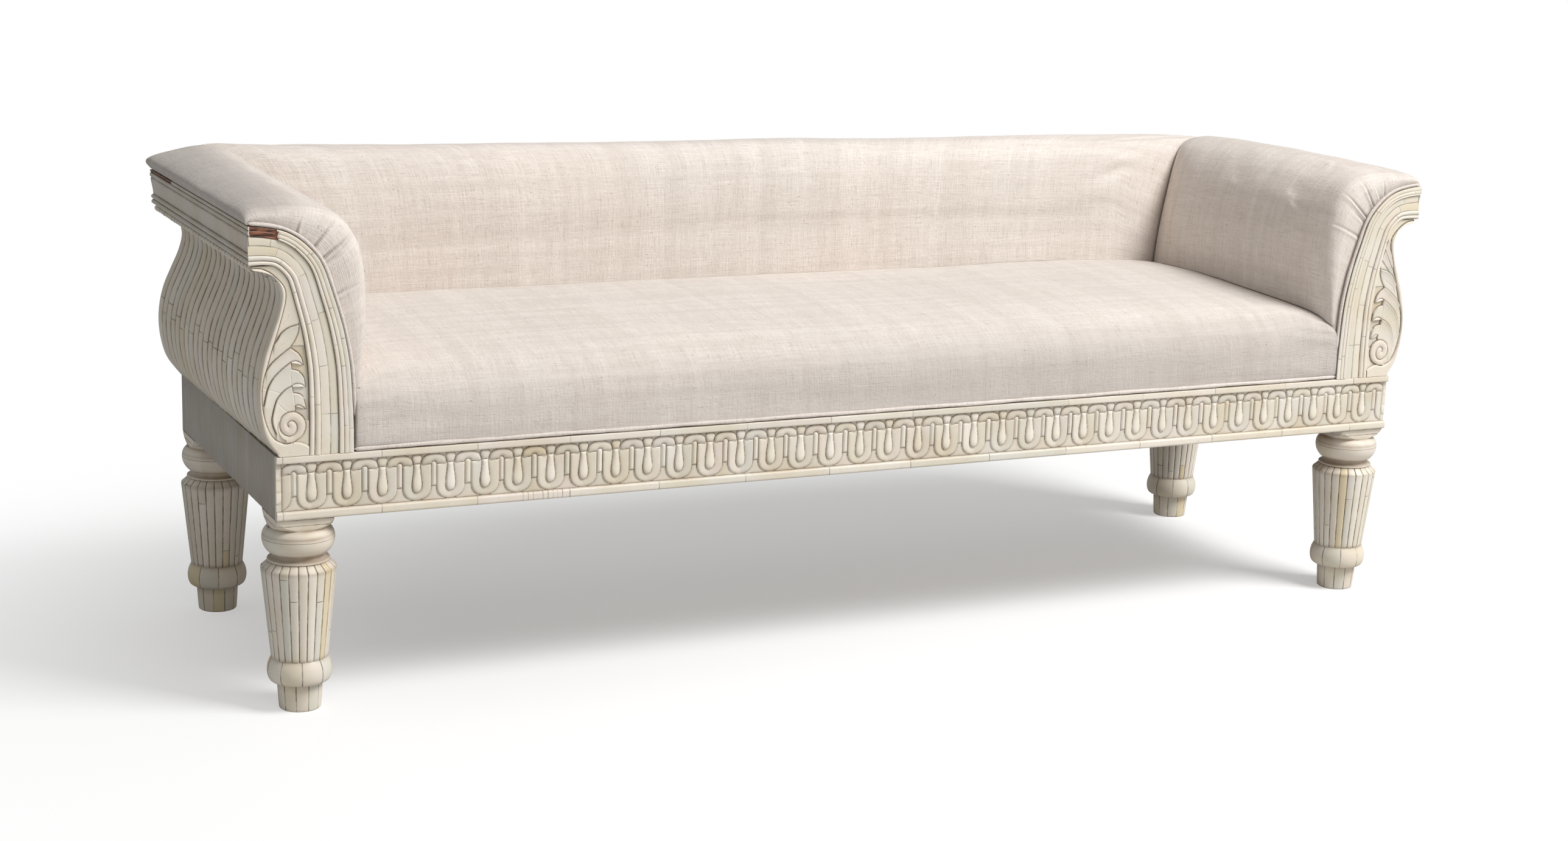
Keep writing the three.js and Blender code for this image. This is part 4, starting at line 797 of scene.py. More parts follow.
panel("reeded_arm_panel_right", 21 * 12 + 1, (0, 1), arm_run, side_place(1), "arm_outer_panel_right")
panel("reeded_arm_panel_left", 21 * 12 + 1, (0, 1), arm_run, side_place(-1), "arm_outer_panel_left")
panel("reeded_back_panel", 66 * 8 + 1, (1, 1), rear_run, back_place, "back_outer_panel")


# The cornice along the top of the arms and back: two small reeds, a shallow hollow band and a double top
# fillet, sawn and scraped from bone in long strips and mitred at the corners. Some strips are lost.
cornice_bone = worn_bone("scraped_bone_cornice", greyed=0.3, joint=0.5, lengths=(0.16, 0.34))
cornice_wide, cornice_tall, cornice_inset, cornice_level = 25.0, 55.0, 960.0, 641.0
cornice_shares = np.array([
    (0.0, 0.0), (0.84, 0.0), (0.93, 0.035), (0.945, 0.075), (0.91, 0.12), (0.845, 0.145), (0.93, 0.175),
    (0.955, 0.215), (0.93, 0.255), (0.85, 0.285), (0.845, 0.32), (0.865, 0.42), (0.915, 0.56), (0.95, 0.66),
    (0.965, 0.71), (0.935, 0.765), (0.985, 0.785), (1.0, 0.83), (0.985, 0.875), (0.945, 0.893), (0.985, 0.915),
    (0.995, 0.945), (0.97, 0.975), (0.93, 0.984)])
cornice_line = np.concatenate([through(cornice_shares[:2], 4)[:-1], through(cornice_shares[1:], 90)])
cornice_line = cornice_line * [cornice_wide, cornice_tall]
cornice_back = np.stack([np.zeros(len(cornice_line)), np.linspace(0, 46.75, len(cornice_line))], 1)
line_shares = np.array([0.145, 0.287, 0.765, 0.893])
strip_front = 20.0    # points farther out than this are on the moulded face


def cornice(name, put, count, length, node, bare_from=None):
    """The outline carried along the arm or back between its mitres, wavering by 0.4 mm like hand work. Past
    the share bare_from the top strip is lost, and the wood behind it shows 1.7 mm deeper."""
    share = np.linspace(0, 1, count)
    waver = 0.35 * np.sin(share * count * 0.9) * np.clip(share * 12, 0, 1) * np.clip((1 - share) * 12, 0, 1)
    out, up = cornice_line[:, :1], cornice_line[:, 1:]
    front = cornice_line[:, None, :] + np.stack([waver, 0.4 * waver], -1)[None] * np.clip(out / 20, 0, 1)[:, None, :]
    back = np.repeat(cornice_back[:, None, :], count, axis=1)
    gap_to = np.abs(up - line_shares * cornice_tall).min(1, keepdims=True) + np.where(out < strip_front, 5.0, 0.0)
    bare = np.zeros(front.shape[:2])
    if bare_from is not None:
        bare = (share[None, :] > bare_from) * (up > 0.9 * cornice_tall) * (out > strip_front)
        front = front - np.stack([1.7 * bare, 0.8 * bare], -1)
    level = np.interp(up / cornice_tall, [0, *line_shares, 1.0], np.arange(6))
    flat = np.stack(np.broadcast_arrays(np.clip(level, 0.02, 4.98), share[None, :] * length * 0.001), -1)
    places, faces, corner = two_sided(put(share, front), put(share, back), flat)
    lines = np.broadcast_to(nearness(gap_to), bare.shape)
    # Painted shade along the cut lines and on the lowest row, the cornice's underside.
    grime_and_shade = np.broadcast_to(0.75 * np.exp(-gap_to / 1.6) + 0.5 * (up < 1), bare.shape)
    made = piece_from(name, places, faces, cornice_bone, corner, {
        "line": lines, "grime_and_shade": grime_and_shade, "bare": bare, "wide": 10.0}, crease=50)
    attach(made, "root")
    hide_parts(node)


def side_cornice(side):
    """Places along an arm, between its mitres with the arm's front and with the back."""
    def put(share, grid):
        x = cornice_inset + grid[..., 0]
        start, end = 671.0 - x, arm_panel_rear + x - frame_half
        return np.stack([side * x, start + (end - start) * share[None, :], cornice_level + grid[..., 1]], -1)
    return put


def rear_cornice(share, grid):
    """Places along the back, between the mitres with the arms."""
    y = 290.0 + grid[..., 0]
    return np.stack([(949.7 + y - 280.0) * (2 * share[None, :] - 1), y, cornice_level + grid[..., 1]], -1)


cornice("cornice_right", side_cornice(1), 80, arm_run, "arm_cornice_right")
cornice("cornice_left", side_cornice(-1), 80, arm_run, "arm_cornice_left", bare_from=0.76)
cornice("cornice_back", rear_cornice, 220, 1950.0, "back_cornice")


# A string of small carved leaf tips hangs below the cornice. It is cut from one strip of bone for each
# side and glued under the cornice's first reed.
bead_bone = worn_bone("carved_bone_beads", joint=0.4, lengths=(0.2, 0.3))
bead_pitch, bead_radius, bead_axis, around_bead = 18.0, 5.4, (16.0, -5.6), 12


def tube_faces(around, count):
    """The faces of a round form from a grid of points (around, along) and one more point at each end."""
    index = np.arange(around * count).reshape(around, count)
    after = np.roll(index, -1, axis=0)
    quads = patch(index[:, :-1], index[:, 1:], after[:, 1:], after[:, :-1])
    first, last = around * count, around * count + 1
    caps = np.concatenate([np.stack([np.full(around, first), index[:, 0], after[:, 0]], 1),
                           np.stack([np.full(around, last), after[:, -1], index[:, -1]], 1)])
    return quads, caps


def bead_string(name, length, put, node, seed):
    """Beads 18 mm apart: round the strip's axis the radius is a share of 5.4 mm that rises and falls as the
    root of a sine over each bead, leans to one side, and differs a little from bead to bead."""
    beads = round(length / bead_pitch)
    own = np.random.default_rng(seed).uniform(-1, 1, (3, beads + 1))
    share = np.linspace(0, 1, beads * 8 + 1)
    place = share * beads
    index = np.minimum(place.astype(int), beads - 1)
    phase = np.clip(place - index, 0, 1) ** (1 + 0.3 * own[0, index])
    round_up = np.sqrt(np.clip(np.sin(math.pi * phase), 0, 1))
    size = bead_radius * (0.42 + (0.5 + 0.06 * own[1, index]) * round_up)
    turn = np.linspace(0, 2 * math.pi, around_bead + 1)[:-1]
    hang = 1 + 0.12 * np.cos(turn + math.pi / 3)[:, None] * round_up[None, :]
    out = np.cos(turn)[:, None] * size[None, :] * hang.clip(0, 1.0)
    up = np.sin(turn)[:, None] * size[None, :]
    ring = put(share, np.stack([bead_axis[0] + out, bead_axis[1] + up], -1))
    centre = put(share[[0, -1]], np.array([[bead_axis, bead_axis]]))[0]
    quads, caps = tube_faces(around_bead, len(share))
    flat = np.stack(np.broadcast_arrays(0.5 + 0 * turn[:, None], share[None, :] * length * 0.001), -1).reshape(-1, 2)
    flat = np.concatenate([flat, [[0.5, 0], [0.5, 0]]])
    # Painted shade in the gaps between the beads.
    grime_and_shade = np.broadcast_to(1.5 * (1 - round_up) ** 1.2, out.shape)
    made = piece_from(name, np.concatenate([ring.reshape(-1, 3), centre]), [quads, caps], bead_bone,
                      [flat[quads], flat[caps]], {"grime_and_shade": grime_and_shade, "wide": 20.0}, crease=80)
    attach(made, "root")
    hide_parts(node)


def side_beads(side):
    """Places along an arm's strip of beads, from the arm's front to the mitre with the back's."""
    def put(share, grid):
        x = cornice_inset + grid[..., 0]
        start, end = -301.9, arm_panel_rear + x - frame_half
        return np.stack([side * x, start + (end - start) * share[None, :], cornice_level + grid[..., 1]], -1)
    return put


bead_string("beads_right", arm_run, side_beads(1), "arm_bead_strip_right", 3)
bead_string("beads_left", arm_run, side_beads(-1), "arm_bead_strip_left", 4)
bead_string("beads_back", 1958.0, rear_cornice, "back_bead_strip", 5)


# Mouldings up the front of each arm: three thin reeds beside the stuffing, a wide flat band of long
# strips, and a pair of round reeds beside the carved plate. They bend over and meet the cornice.
arm_bone = worn_bone("worn_bone_arm_mouldings", joint=0.6, lengths=(0.07, 0.17))
band_width, bend_share = 63.0, 0.13
draw_share = 1 - cornice_tall / band_width


def band_line(distance):
    """A line of the mouldings at a distance from the stuffing's edge. It draws in by a bell over the bend
    and evenly towards the outer end, where the mouldings are as deep as the cornice."""
    share = np.linspace(0, 1, len(arm_line))
    narrow = bend_share * np.sin(math.pi * share ** 2) + draw_share * share
    moved = beside(arm_line, distance * (1 - narrow))
    moved[-1, 0] = 985.0
    moved[:, 1] = np.where(share == 0, panel_foot, moved[:, 1])
    return moved


# Seven strips side by side: their edges as shares of the whole width, which draw in towards the cornice,
# the level and swell of each, its width, and how deep the groove at each edge is.
strip_edges = np.array([0.0, 0.115, 0.222, 0.333, 0.522, 0.738, 0.882, 1.0])
edge_shift = np.array([0, 0, 0, -0.07, -0.04, 0.0, 0, 0])
level = np.array([-313.0, -313.3, -313.0, -310.7, -310.9, -311.9, -311.7])
swell = np.array([0.5, 0.5, 0.6, 0.2, 0.25, 1.7, 1.4])
wide_mm = np.array([7, 6.6, 7, 12, 13.6, 9, 7.4])
sunk = np.array([0.7, 0.3, 0.35, 0.5, 0.25, 0.9, 0.7, 0.9])
number = np.concatenate([np.linspace(k, k + 1, 9)[:-1] for k in range(7)] + [[7.0]])
strip = np.minimum(number.astype(int), 6)
part = number - strip
to_edge = np.minimum(part, 1 - part)
nearest = np.where(part < 0.5, strip, strip + 1)
depth = level[strip] - swell[strip] * (1 - (2 * part - 1) ** 2) + sunk[nearest] * np.exp(-(to_edge / 0.1) ** 2)

step = length_along(arm_line)
run = np.linspace(0, step[-1], 150)
share = np.linspace(0, 1, len(arm_line))
even = np.interp(run, step, share)
edges_here = strip_edges[None, :] + edge_shift[None, :] * (even[:, None] ** 2)
across = np.stack([np.interp(number, np.arange(8), row) for row in edges_here]).T[..., None]
near_line, far_line = [np.stack([np.interp(even, share, line[:, k]) for k in (0, 1)], 1) for line in (
    band_line(np.zeros(len(arm_line))), band_line(np.full(len(arm_line), band_width)))]
middle_of = near_line[None] * (1 - across) + far_line[None] * across


def at_the_wood(side, line):
    """The moulding's edge where it meets the wood, drawn in behind the cornice."""
    x = np.where(line[:, 0] > frame_half, frame_half + (line[:, 0] - frame_half) * 23.0 / 35.0, line[:, 0])
    return np.stack([side * x, np.full(len(line), rail_face), line[:, 1]], 1)


for side, tag in ((1, "right"), (-1, "left")):
    bare = np.zeros(middle_of.shape[:2])
    if side < 0:
        bare = (number[:, None] < 2.9) * (middle_of[..., 0] > 944.0)
    face = np.stack([side * np.minimum(middle_of[..., 0], 984.5), depth[:, None] + 2.2 * bare, middle_of[..., 1]], -1)
    flat = np.stack(np.broadcast_arrays(number[:, None], run[None, :] * 0.001), -1)
    places, faces, corner = with_flat_back(
        face, at_the_wood(side, middle_of[0]), at_the_wood(side, middle_of[-1]), flat)
    strong = np.isin(nearest, (0, 3, 5, 7))
    gap_to = np.broadcast_to((to_edge * wide_mm[strip] + np.where(strong, 0, 0.25))[:, None], bare.shape)
    # Painted shade with some grime beside the grooves between the strips.
    moulding = piece_from(f"arm_mouldings_{tag}", places, faces, arm_bone, corner, {
        "line": nearness(gap_to), "grime_and_shade": 0.35 * np.exp(-gap_to / 0.8), "bare": bare, "wide": 9.0}, crease=55)
    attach(moulding, "root")
    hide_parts(f"arm_front_moulding_{tag}")


# The carved plate in the hollow of each arm: a raised rim along its outer edge that runs down into a
# volute, and a curled leaf that climbs along the rim, with four lobes on the left arm and six on the
# right. It is cut from pieces of thick bone.
plate_bone = worn_bone("carved_bone_leaf", carved=True)
rim_line = [
    (986, 641), (978, 638.5), (966, 637), (954, 631), (945, 623), (938, 615), (934.5, 608), (933.5, 599),
    (935, 588), (938, 576), (942, 562), (947, 546), (951, 533), (956, 518), (961, 500), (965.5, 486), (968, 470),
    (968, 452), (966, 437), (962, 421), (955, 406), (947, 398.5), (936, 394.5), (925, 396)]
volute = [
    (925, 396), (914, 403), (908.7, 413), (908.4, 422), (911.5, 429.5), (916, 434), (922, 437.3), (928, 438.3),
    (935, 436.5), (941, 432), (944.4, 424.5), (944, 416), (940, 409), (932.5, 404.8), (925.5, 406.2), (921, 412),
    (920.8, 420), (925, 425.3), (930, 426), (933.5, 422.6), (932.5, 418)]
lobe_edges = [
    [(951, 533), (947, 538), (942, 546), (936, 551.5), (929, 555.5), (917, 559)],
    [(962, 497), (955, 506.5), (946, 514.5), (937, 521.5), (928.5, 527.5)],
    [(965.5, 449), (961, 469), (957, 479), (951.5, 487.5), (944.5, 494.5), (938, 500), (928.5, 507)],
    [(949, 409), (953, 420), (954.5, 430), (953, 439), (950.5, 449), (947.5, 457), (941.5, 464.5), (935, 470),
     (927, 474)]]
leaf_cuts = [
    [(916, 561), (917, 549), (922, 537), (928.5, 527.5)],
    [(928.5, 527.5), (923, 523.5), (917.5, 519), (913, 512.5), (910.5, 503)],
    [(928.5, 507), (925.5, 508.6), (921, 509), (916, 507), (910.5, 502.5)],
    [(928.5, 507), (927, 503), (926.5, 497.5)],
    [(926.5, 497.5), (922, 496.3), (917, 494.2), (912.5, 490), (909.5, 484.5), (907.8, 473)],
    [(927, 474), (923.5, 476.6), (918, 477.4), (912.5, 475.6), (907.8, 472)],
    [(927, 474), (925.6, 469), (925, 464.5)],
    [(925, 464.5), (919, 463.6), (914, 461), (910, 455), (907.4, 443)],
    [(922.5, 446), (919.5, 447.4), (916.5, 447), (912, 444.4), (906.8, 441)],
    [(922.5, 446), (921.8, 441.5), (923.5, 438.2)]]
faint_cuts = [
    [(926.5, 497.5), (929, 490), (927.5, 483), (927, 474)], [(925, 464.5), (924, 455), (922.5, 446)],
    [(941.5, 464.5), (955, 470), (966, 474)], [(947, 452), (938, 442), (932, 438)],
    [(928, 540), (944, 528), (950, 518)], [(953, 424), (961, 424)], [(938, 560), (930, 572)]]
leaf_body = [
    (917, 559), (929, 555.5), (936, 551.5), (942, 546), (947, 538), (951, 533), (956, 518), (961, 500),
    (965.5, 486), (968, 470), (968, 452), (966, 437), (962, 421), (955, 406), (947, 398.5), (936, 394.5),
    (925, 396), (914, 403), (908.7, 413), (908.4, 422), (911.5, 429.5), (916, 434), (923.5, 438.2), (921.8, 441.5),
    (922.5, 446), (907, 441), (908, 455), (914, 461), (925, 464.5), (927, 474), (907.8, 472), (909.5, 484.5),
    (917, 494.2), (926.5, 497.5), (928.5, 507), (910.5, 502.5), (913, 512.5), (917.5, 519), (928.5, 527.5),
    (922, 537), (917, 549)]
# The right arm's leaf has two more lobes, which climb to the cornice.
upper_lobes = [
    [(941, 566), (937, 580), (932, 592), (927, 607), (925.5, 622)],
    [(950, 536), (942, 553), (933, 570), (925, 586), (915.5, 606)]]
upper_cuts = [
    [(917, 559), (911, 570), (909, 585)], [(909, 585), (915.5, 588), (914.5, 598), (915.5, 606)],
    [(915.5, 606), (922, 606), (925.5, 622)], [(909, 585), (920, 571), (936, 551.5)]]
upper_body = [
    (917, 559), (911, 570), (909, 585), (915.5, 588), (914.5, 598), (915.5, 606), (922, 606), (925.5, 622),
    (931, 610), (936, 592), (941, 566), (947, 546), (951, 533), (942, 546), (929, 555.5)]

# The grid: columns at even heights, and rows from the mouldings' edge to the outer panel's outline.
edge_shares = np.concatenate([scroll_shares[:-1], [(1.36, 0.981)]])
plate_edge = through(edge_shares * scroll_size + scroll_foot, 400)
plate_edge[0, 1] = panel_foot
inner_edge = band_line(np.full(len(arm_line), band_width + 0.4))
tall = np.linspace(panel_foot, 640.5, 380)
upwards = np.argsort(inner_edge[:, 1])
inner_x = np.interp(tall, inner_edge[upwards, 1], inner_edge[upwards, 0])
climb = np.maximum.accumulate(plate_edge[:, 1])
outer_x = np.interp(tall, climb + np.arange(len(climb)) * 1e-6, plate_edge[:, 0])
outer_x = np.maximum(outer_x, inner_x + 3.0)
share = np.linspace(0, 1, 144)[:, None]
x = inner_x[None, :] * (1 - share) + outer_x[None, :] * share
z = np.broadcast_to(tall[None, :], x.shape)
field_level, leaf_level, lobe_level, volute_level, rim_level, recess_level, foot_level = (
    -309.2, -310.2, -310.0, -311.9, -310.6, -308.4, -311.3)


def inside(line):
    """Which of the plate's points lie inside a closed outline, by how often a ray across meets it."""
    line = np.asarray(line, float)
    within = np.zeros(x.shape, bool)
    for (x1, z1), (x2, z2) in zip(line, np.roll(line, -1, axis=0)):
        meets = (z1 > z) != (z2 > z)
        with np.errstate(divide="ignore", invalid="ignore"):
            within ^= meets & (x < (x2 - x1) * (z - z1) / (z2 - z1) + x1)
    return within


def carve_leaf(tall_leaf):
    """The plate's surface, from the distance of each point to the carved lines: the rim and the volute
    swell, and each lobe falls away from its own upper edge. It gives the depth, the distance to the
    nearest joint, the tone of each small piece, and the grime and painted shade along the cuts, in the
    recess and at the outer edge."""
    lobes = upper_lobes + lobe_edges if tall_leaf else lobe_edges
    cuts = leaf_cuts + upper_cuts if tall_leaf else leaf_cuts
    to_rim, to_volute = [distance_to(x, z, through(line, 120)) for line in (rim_line, volute)]
    to_lobe = [distance_to(x, z, through(line, 24)) for line in lobes]
    to_cut = np.minimum.reduce([distance_to(x, z, through(line, 16)) for line in cuts])
    to_faint = np.minimum.reduce([distance_to(x, z, line) for line in faint_cuts])
    to_outside = np.abs(outer_x[None, :] - x)
    in_leaf = inside(leaf_body) | inside(upper_body) if tall_leaf else inside(leaf_body)
    in_volute = inside(volute[:9] + [(936, 420), (936, 394.5), (925, 396)]) | (np.hypot(x - 926.5, z - 417.5) < 20.5)
    in_volute &= in_leaf
    in_rim = inside(rim_line + [(936, 380), (1000, 380), (1000, 641)])

    relief = field_level - 0.9 * np.exp(-((x - inner_x[None, :]) / 9.0) ** 2)
    relief = np.where(in_leaf, leaf_level, relief)
    for gap, line in zip(to_lobe, lobes):
        start_x, end_z = line[0][0], line[-1][1]
        below = inside(line + [(880, end_z), (880, 380), (start_x, 380)]) & in_leaf
        relief = np.where(below, lobe_level - 2.5 * np.exp(-gap / 9.0) - 0.8 * np.exp(-gap / 2.5), relief)
    relief = relief - 0.9 * np.exp(-((x - 915) / 9.0) ** 2) * in_leaf * (z > 440) * (z < 530)
    relief = np.where(in_volute, volute_level - 1.0 * np.clip(to_volute / 5.0, 0, 1), relief)
    rim_swell = np.clip(np.minimum(to_rim, to_outside) / 4.6, 0, 1)
    relief = np.where(in_rim, rim_level - 2.2 * np.sqrt(1 - (1 - rim_swell) ** 2), relief)
    recess = ~in_leaf & ~in_rim & (x < 929) & (z > 425) & (z < 530)
    relief = np.where(recess, recess_level, relief)
    carved_gap = np.minimum.reduce([to_rim, to_volute, to_cut, *to_lobe])
    relief = relief + 1.5 * np.exp(-(carved_gap / 0.85) ** 2) + 0.4 * np.exp(-(to_faint / 0.7) ** 2)
    relief = relief + np.clip(1.6 - to_outside, 0, 1.6) ** 2 * 0.5
    ogee = np.interp(x, [897, 903, 909, 917, 926], [388.5, 388.5, 392.6, 395.8, 396.5])
    in_foot = (z < ogee) & ~in_rim
    relief = np.where(in_foot, foot_level - 1.5 * np.clip((ogee - z) / 3.0, 0, 1), relief)

    carved_gap = np.minimum(carved_gap, np.where(x < 924, np.abs(z - ogee), 9.0))
    joint_gap = np.minimum(carved_gap + 0.12, to_faint + 0.42)
    joint_gap = np.minimum(joint_gap, np.minimum(x - inner_x[None, :] + 0.2, z - panel_foot + 0.3))
    by_height = 0.18 + 0.3 * np.floor((z - 376) / 62.0) * 0.4
    tone = np.select([in_rim, in_foot, in_volute, recess, in_leaf], [0.12, 0.12, 0.52, 0.9, by_height], 0.62)
    # Painted shade with grime along the cuts and in the recess, and painted shade along the outer edge, where the plate
    # meets the panel.
    grime_and_shade = 0.5 * np.exp(-carved_gap / 1.3) + 0.35 * recess + 0.25 * (1 - np.clip((outer_x[None, :] - x) / 3.0, 0, 1))
    return np.clip(relief, -313.6, -305.0), joint_gap, tone + 0.05 * np.sin(z / 19.0), grime_and_shade


for side, tag in ((1, "right"), (-1, "left")):
    relief, joint_gap, tone, grime_and_shade = carve_leaf(side > 0)
    face = np.stack([side * x, relief, z], -1)
    flat = np.stack([z / 50.0, x * 0.001], -1)
    low, high = [np.stack([side * line, np.full_like(tall, rail_face), tall], 1) for line in (inner_x, outer_x)]
    places, faces, corner = with_flat_back(face, low, high, flat)
    plate = piece_from(f"leaf_plate_{tag}", places, faces, plate_bone, corner, {
        "line": nearness(joint_gap), "tone": tone, "grime_and_shade": grime_and_shade, "wide": 50.0}, crease=65)
    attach(plate, "root")
    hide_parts(f"arm_leaf_plate_{tag}")


# The seat: one long fixed pad of hair and wadding on the canvas, covered in undyed linen that is pulled
# down over a firm front roll and tacked along the foot. It is full in the middle and lower at its ends.
# Real linen of this weight has threads 0.7 mm apart. They are drawn 2 mm apart, so that they show.
linen_colours = ["#E2D9D1", "#F1EBE5", "#C1B5AA", "#DCD7CF", "#E8D9CE", "#6E6154"]
linen = woven("undyed_linen_plain_weave", linen_colours, 0.002, 0.7, 0.9)
seat_bed, seat_rise, seat_front, seat_half = 381.2, 124.0, -314.0, 840.0
seat_depth = back_foot - 1.0 - seat_front
seat_shares = np.array([(0.012, 0), (0.002, 0.05), (0, 0.3), (0.006, 0.5), (0.025, 0.66), (0.07, 0.78), (0.16, 0.86),
                        (0.35, 0.935), (0.6, 0.985), (0.82, 1), (0.93, 0.98), (0.985, 0.92), (1, 0.8), (1, 0)])
seat_fullness = np.array([(-1, 0.83), (-0.992, 0.88), (-0.972, 0.915), (-0.92, 0.95), (-0.75, 0.98), (-0.4, 1),
                          (0.4, 1), (0.75, 0.99), (0.92, 0.965), (0.972, 0.93), (0.992, 0.89), (1, 0.84)])


def outward(grid):
    """Unit normals of a grid of points, from the cross product of its two directions."""
    normal = np.cross(np.gradient(grid, axis=0), np.gradient(grid, axis=1))
    return normal / np.maximum(np.linalg.norm(normal, axis=2, keepdims=True), 1e-9)


def unevenness(a, b, seed, reach):
    """The slow swells of stuffing packed by hand, within -1 to 1: six sines over the surface, their
    directions and places drawn from a fixed seed, with waves from reach to three times reach long."""
    own = np.random.default_rng(seed)
    total = np.zeros(np.broadcast(a, b).shape)
    for _ in range(6):
        turn, long, start = own.uniform(0, math.pi), own.uniform(1, 3) * reach, own.uniform(0, 6.3)
        total += np.sin((a * math.cos(turn) + b * math.sin(turn)) * 2 * math.pi / long + start)
    return total / 3.2


def fold(a, b, start, end, width, depth):
    """A crease pressed into cloth: a bell across the line from start to end, fading at both ends."""
    step = np.array(end, float) - np.array(start, float)
    length = np.hypot(*step)
    t = ((a - start[0]) * step[0] + (b - start[1]) * step[1]) / length ** 2
    off = ((a - start[0]) * step[1] - (b - start[1]) * step[0]) / length
    ends = np.clip(np.minimum(t, 1 - t) * 5 + 0.25, 0, 1) * (t > -0.05) * (t < 1.05)
    return depth * ends * (np.exp(-(off / width) ** 2) - 0.35 * np.exp(-((off - 2 * width) / (1.5 * width)) ** 2))


def fill_out(pad, held, most, steps=20):
    """Stuffs a pad: its linen is blown out from inside for 20 steps of Blender's cloth, tacked where held
    is 1, without gravity. Each point's move is then cut to the given number of millimetres."""
    start = np.empty(len(pad.data.vertices) * 3, np.float32)
    pad.data.vertices.foreach_get("co", start)
    group = pad.vertex_groups.new(name="tacked")
    group.add(np.flatnonzero(held > 0.5).tolist(), 1.0, "REPLACE")
    cloth = pad.modifiers.new("stuffing", "CLOTH")
    cloth.settings.quality = 5
    cloth.settings.mass = 0.3
    cloth.settings.tension_stiffness = 25
    cloth.settings.compression_stiffness = 25
    cloth.settings.bending_stiffness = 1.5
    cloth.settings.use_pressure = True
    cloth.settings.uniform_pressure_force = 4.0
    cloth.settings.vertex_group_mass = "tacked"
    cloth.settings.effector_weights.gravity = 0
    cloth.collision_settings.use_collision = False
    cloth.point_cache.frame_end = steps
    for frame_number in range(1, steps + 1):
        scene.frame_set(frame_number)
    shaped = pad.evaluated_get(bpy.context.evaluated_depsgraph_get())
    end = np.empty_like(start)
    shaped.data.vertices.foreach_get("co", end)
    pad.modifiers.remove(cloth)
    pad.vertex_groups.remove(group)
    scene.frame_set(1)
    move = (end - start).reshape(-1, 3)
    far = np.linalg.norm(move, axis=1, keepdims=True)
    limit = most * 0.001
    move *= np.where(far > 1e-9, limit * np.tanh(far / limit) / np.maximum(far, 1e-9), 0)
    move[~np.isfinite(move).all(1)] = 0
    pad.data.vertices.foreach_set("co", (start.reshape(-1, 3) + move).ravel())
    pad.data.update()


def shape_of(pad, rows, columns):
    """A pad's points as they are now, in metres: its top and its bed, each a grid of rows and columns."""
    shaped = np.empty(len(pad.data.vertices) * 3, np.float32)
    pad.data.vertices.foreach_get("co", shaped)
    return shaped.reshape(2, rows, columns, 3)


def finish_pad(pad, node):
    """One round of subdivision, and what the piece is for the frame."""
    smooth = pad.modifiers.new("smooth", "SUBSURF")
    smooth.levels = smooth.render_levels = 1
    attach(pad, "root")
    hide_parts(node)


seat_rows = 66
near_end = np.array([0, 0.003, 0.008, 0.014, 0.021, 0.028])
columns = np.concatenate([near_end - 1, np.linspace(-0.964, 0.964, 150), 1 - near_end[::-1]])
rise = through(seat_fullness, 600)
rise = np.interp(columns, rise[:, 0], rise[:, 1])
profile = through(seat_shares, seat_rows) * [seat_depth, 1.0]
along = length_along(profile * [1.0, seat_rise])
top = np.empty((seat_rows, len(columns), 3))
top[..., 0] = columns * seat_half
top[..., 1] = seat_front + profile[:, :1]
height = profile[:, 1:].clip(0, 1)
squarer = np.clip((np.abs(columns) - 0.86) / 0.12, 0, 1) * np.clip((height - 0.1) / 0.3, 0, 1)
top[..., 2] = seat_bed + (height + (height ** 0.64 - height) * squarer) * seat_rise * rise

# Over the cloth, in millimetres from the middle (px) and from the front's foot (ps): swells of the
# stuffing, a slight hollow behind the front roll, and 26 short gathers along the tacked foot.
px, ps = np.broadcast_arrays(columns[None, :] * seat_half, along[:, None])
calm = np.clip((ps - 14) / 30, 0, 1) * np.clip((along[-1] - ps) / 60, 0, 1)
calm = calm * np.clip((seat_half - np.abs(px)) / 30, 0, 1)
push = 2.2 * unevenness(px, ps, 5, 260) + 0.7 * unevenness(px, ps, 8, 70)
push = push - 1.2 * np.exp(-((ps - 112) / 10.0) ** 2) * (0.6 + 0.4 * np.sin(px / 53.0))
for number in range(26):
    at = -790 + number * 63.0 + 22 * math.sin(number * 2.4)
    reach = 34 + 16 * math.sin(number * 1.7)
    push = push - fold(px, ps, (at, 4), (at + 9 * math.sin(number * 3.1), reach), 3.5, 1.1)
normal = outward(top)
top = top + normal * (push * calm)[..., None] * np.sign(normal[40, 80, 2])
top[..., 1] = np.maximum(top[..., 1], seat_front - 2.0)
bottom = np.empty_like(top)
bottom[..., 0] = top[..., 0]
bottom[..., 1] = np.linspace(top[0, :, 1], top[-1, :, 1], seat_rows)
bottom[..., 2] = seat_bed
flat = np.stack([px * 0.001, ps * 0.001], -1)
# The cloth is greyed: on the front face by soiling and painted shade, more to the right; on the right of the top by
# painted shade that evens out the key lamp's stronger light there; and at each end by a painted shadow line in the gap
# beside the arms.
soil_and_shade = (np.clip((150 - ps) / 70, 0, 1) * (0.3 + 0.08 * np.tanh((px + 300) / 300) + 0.03 * np.sin(px / 210.0))
        + 0.1 * np.clip(px / 700, 0, 1) * np.clip((ps - 150) / 200, 0, 1)
        + 0.6 * np.exp(-(seat_half - np.abs(px)) / 3.0) * np.clip((230 - ps) / 80, 0, 1))
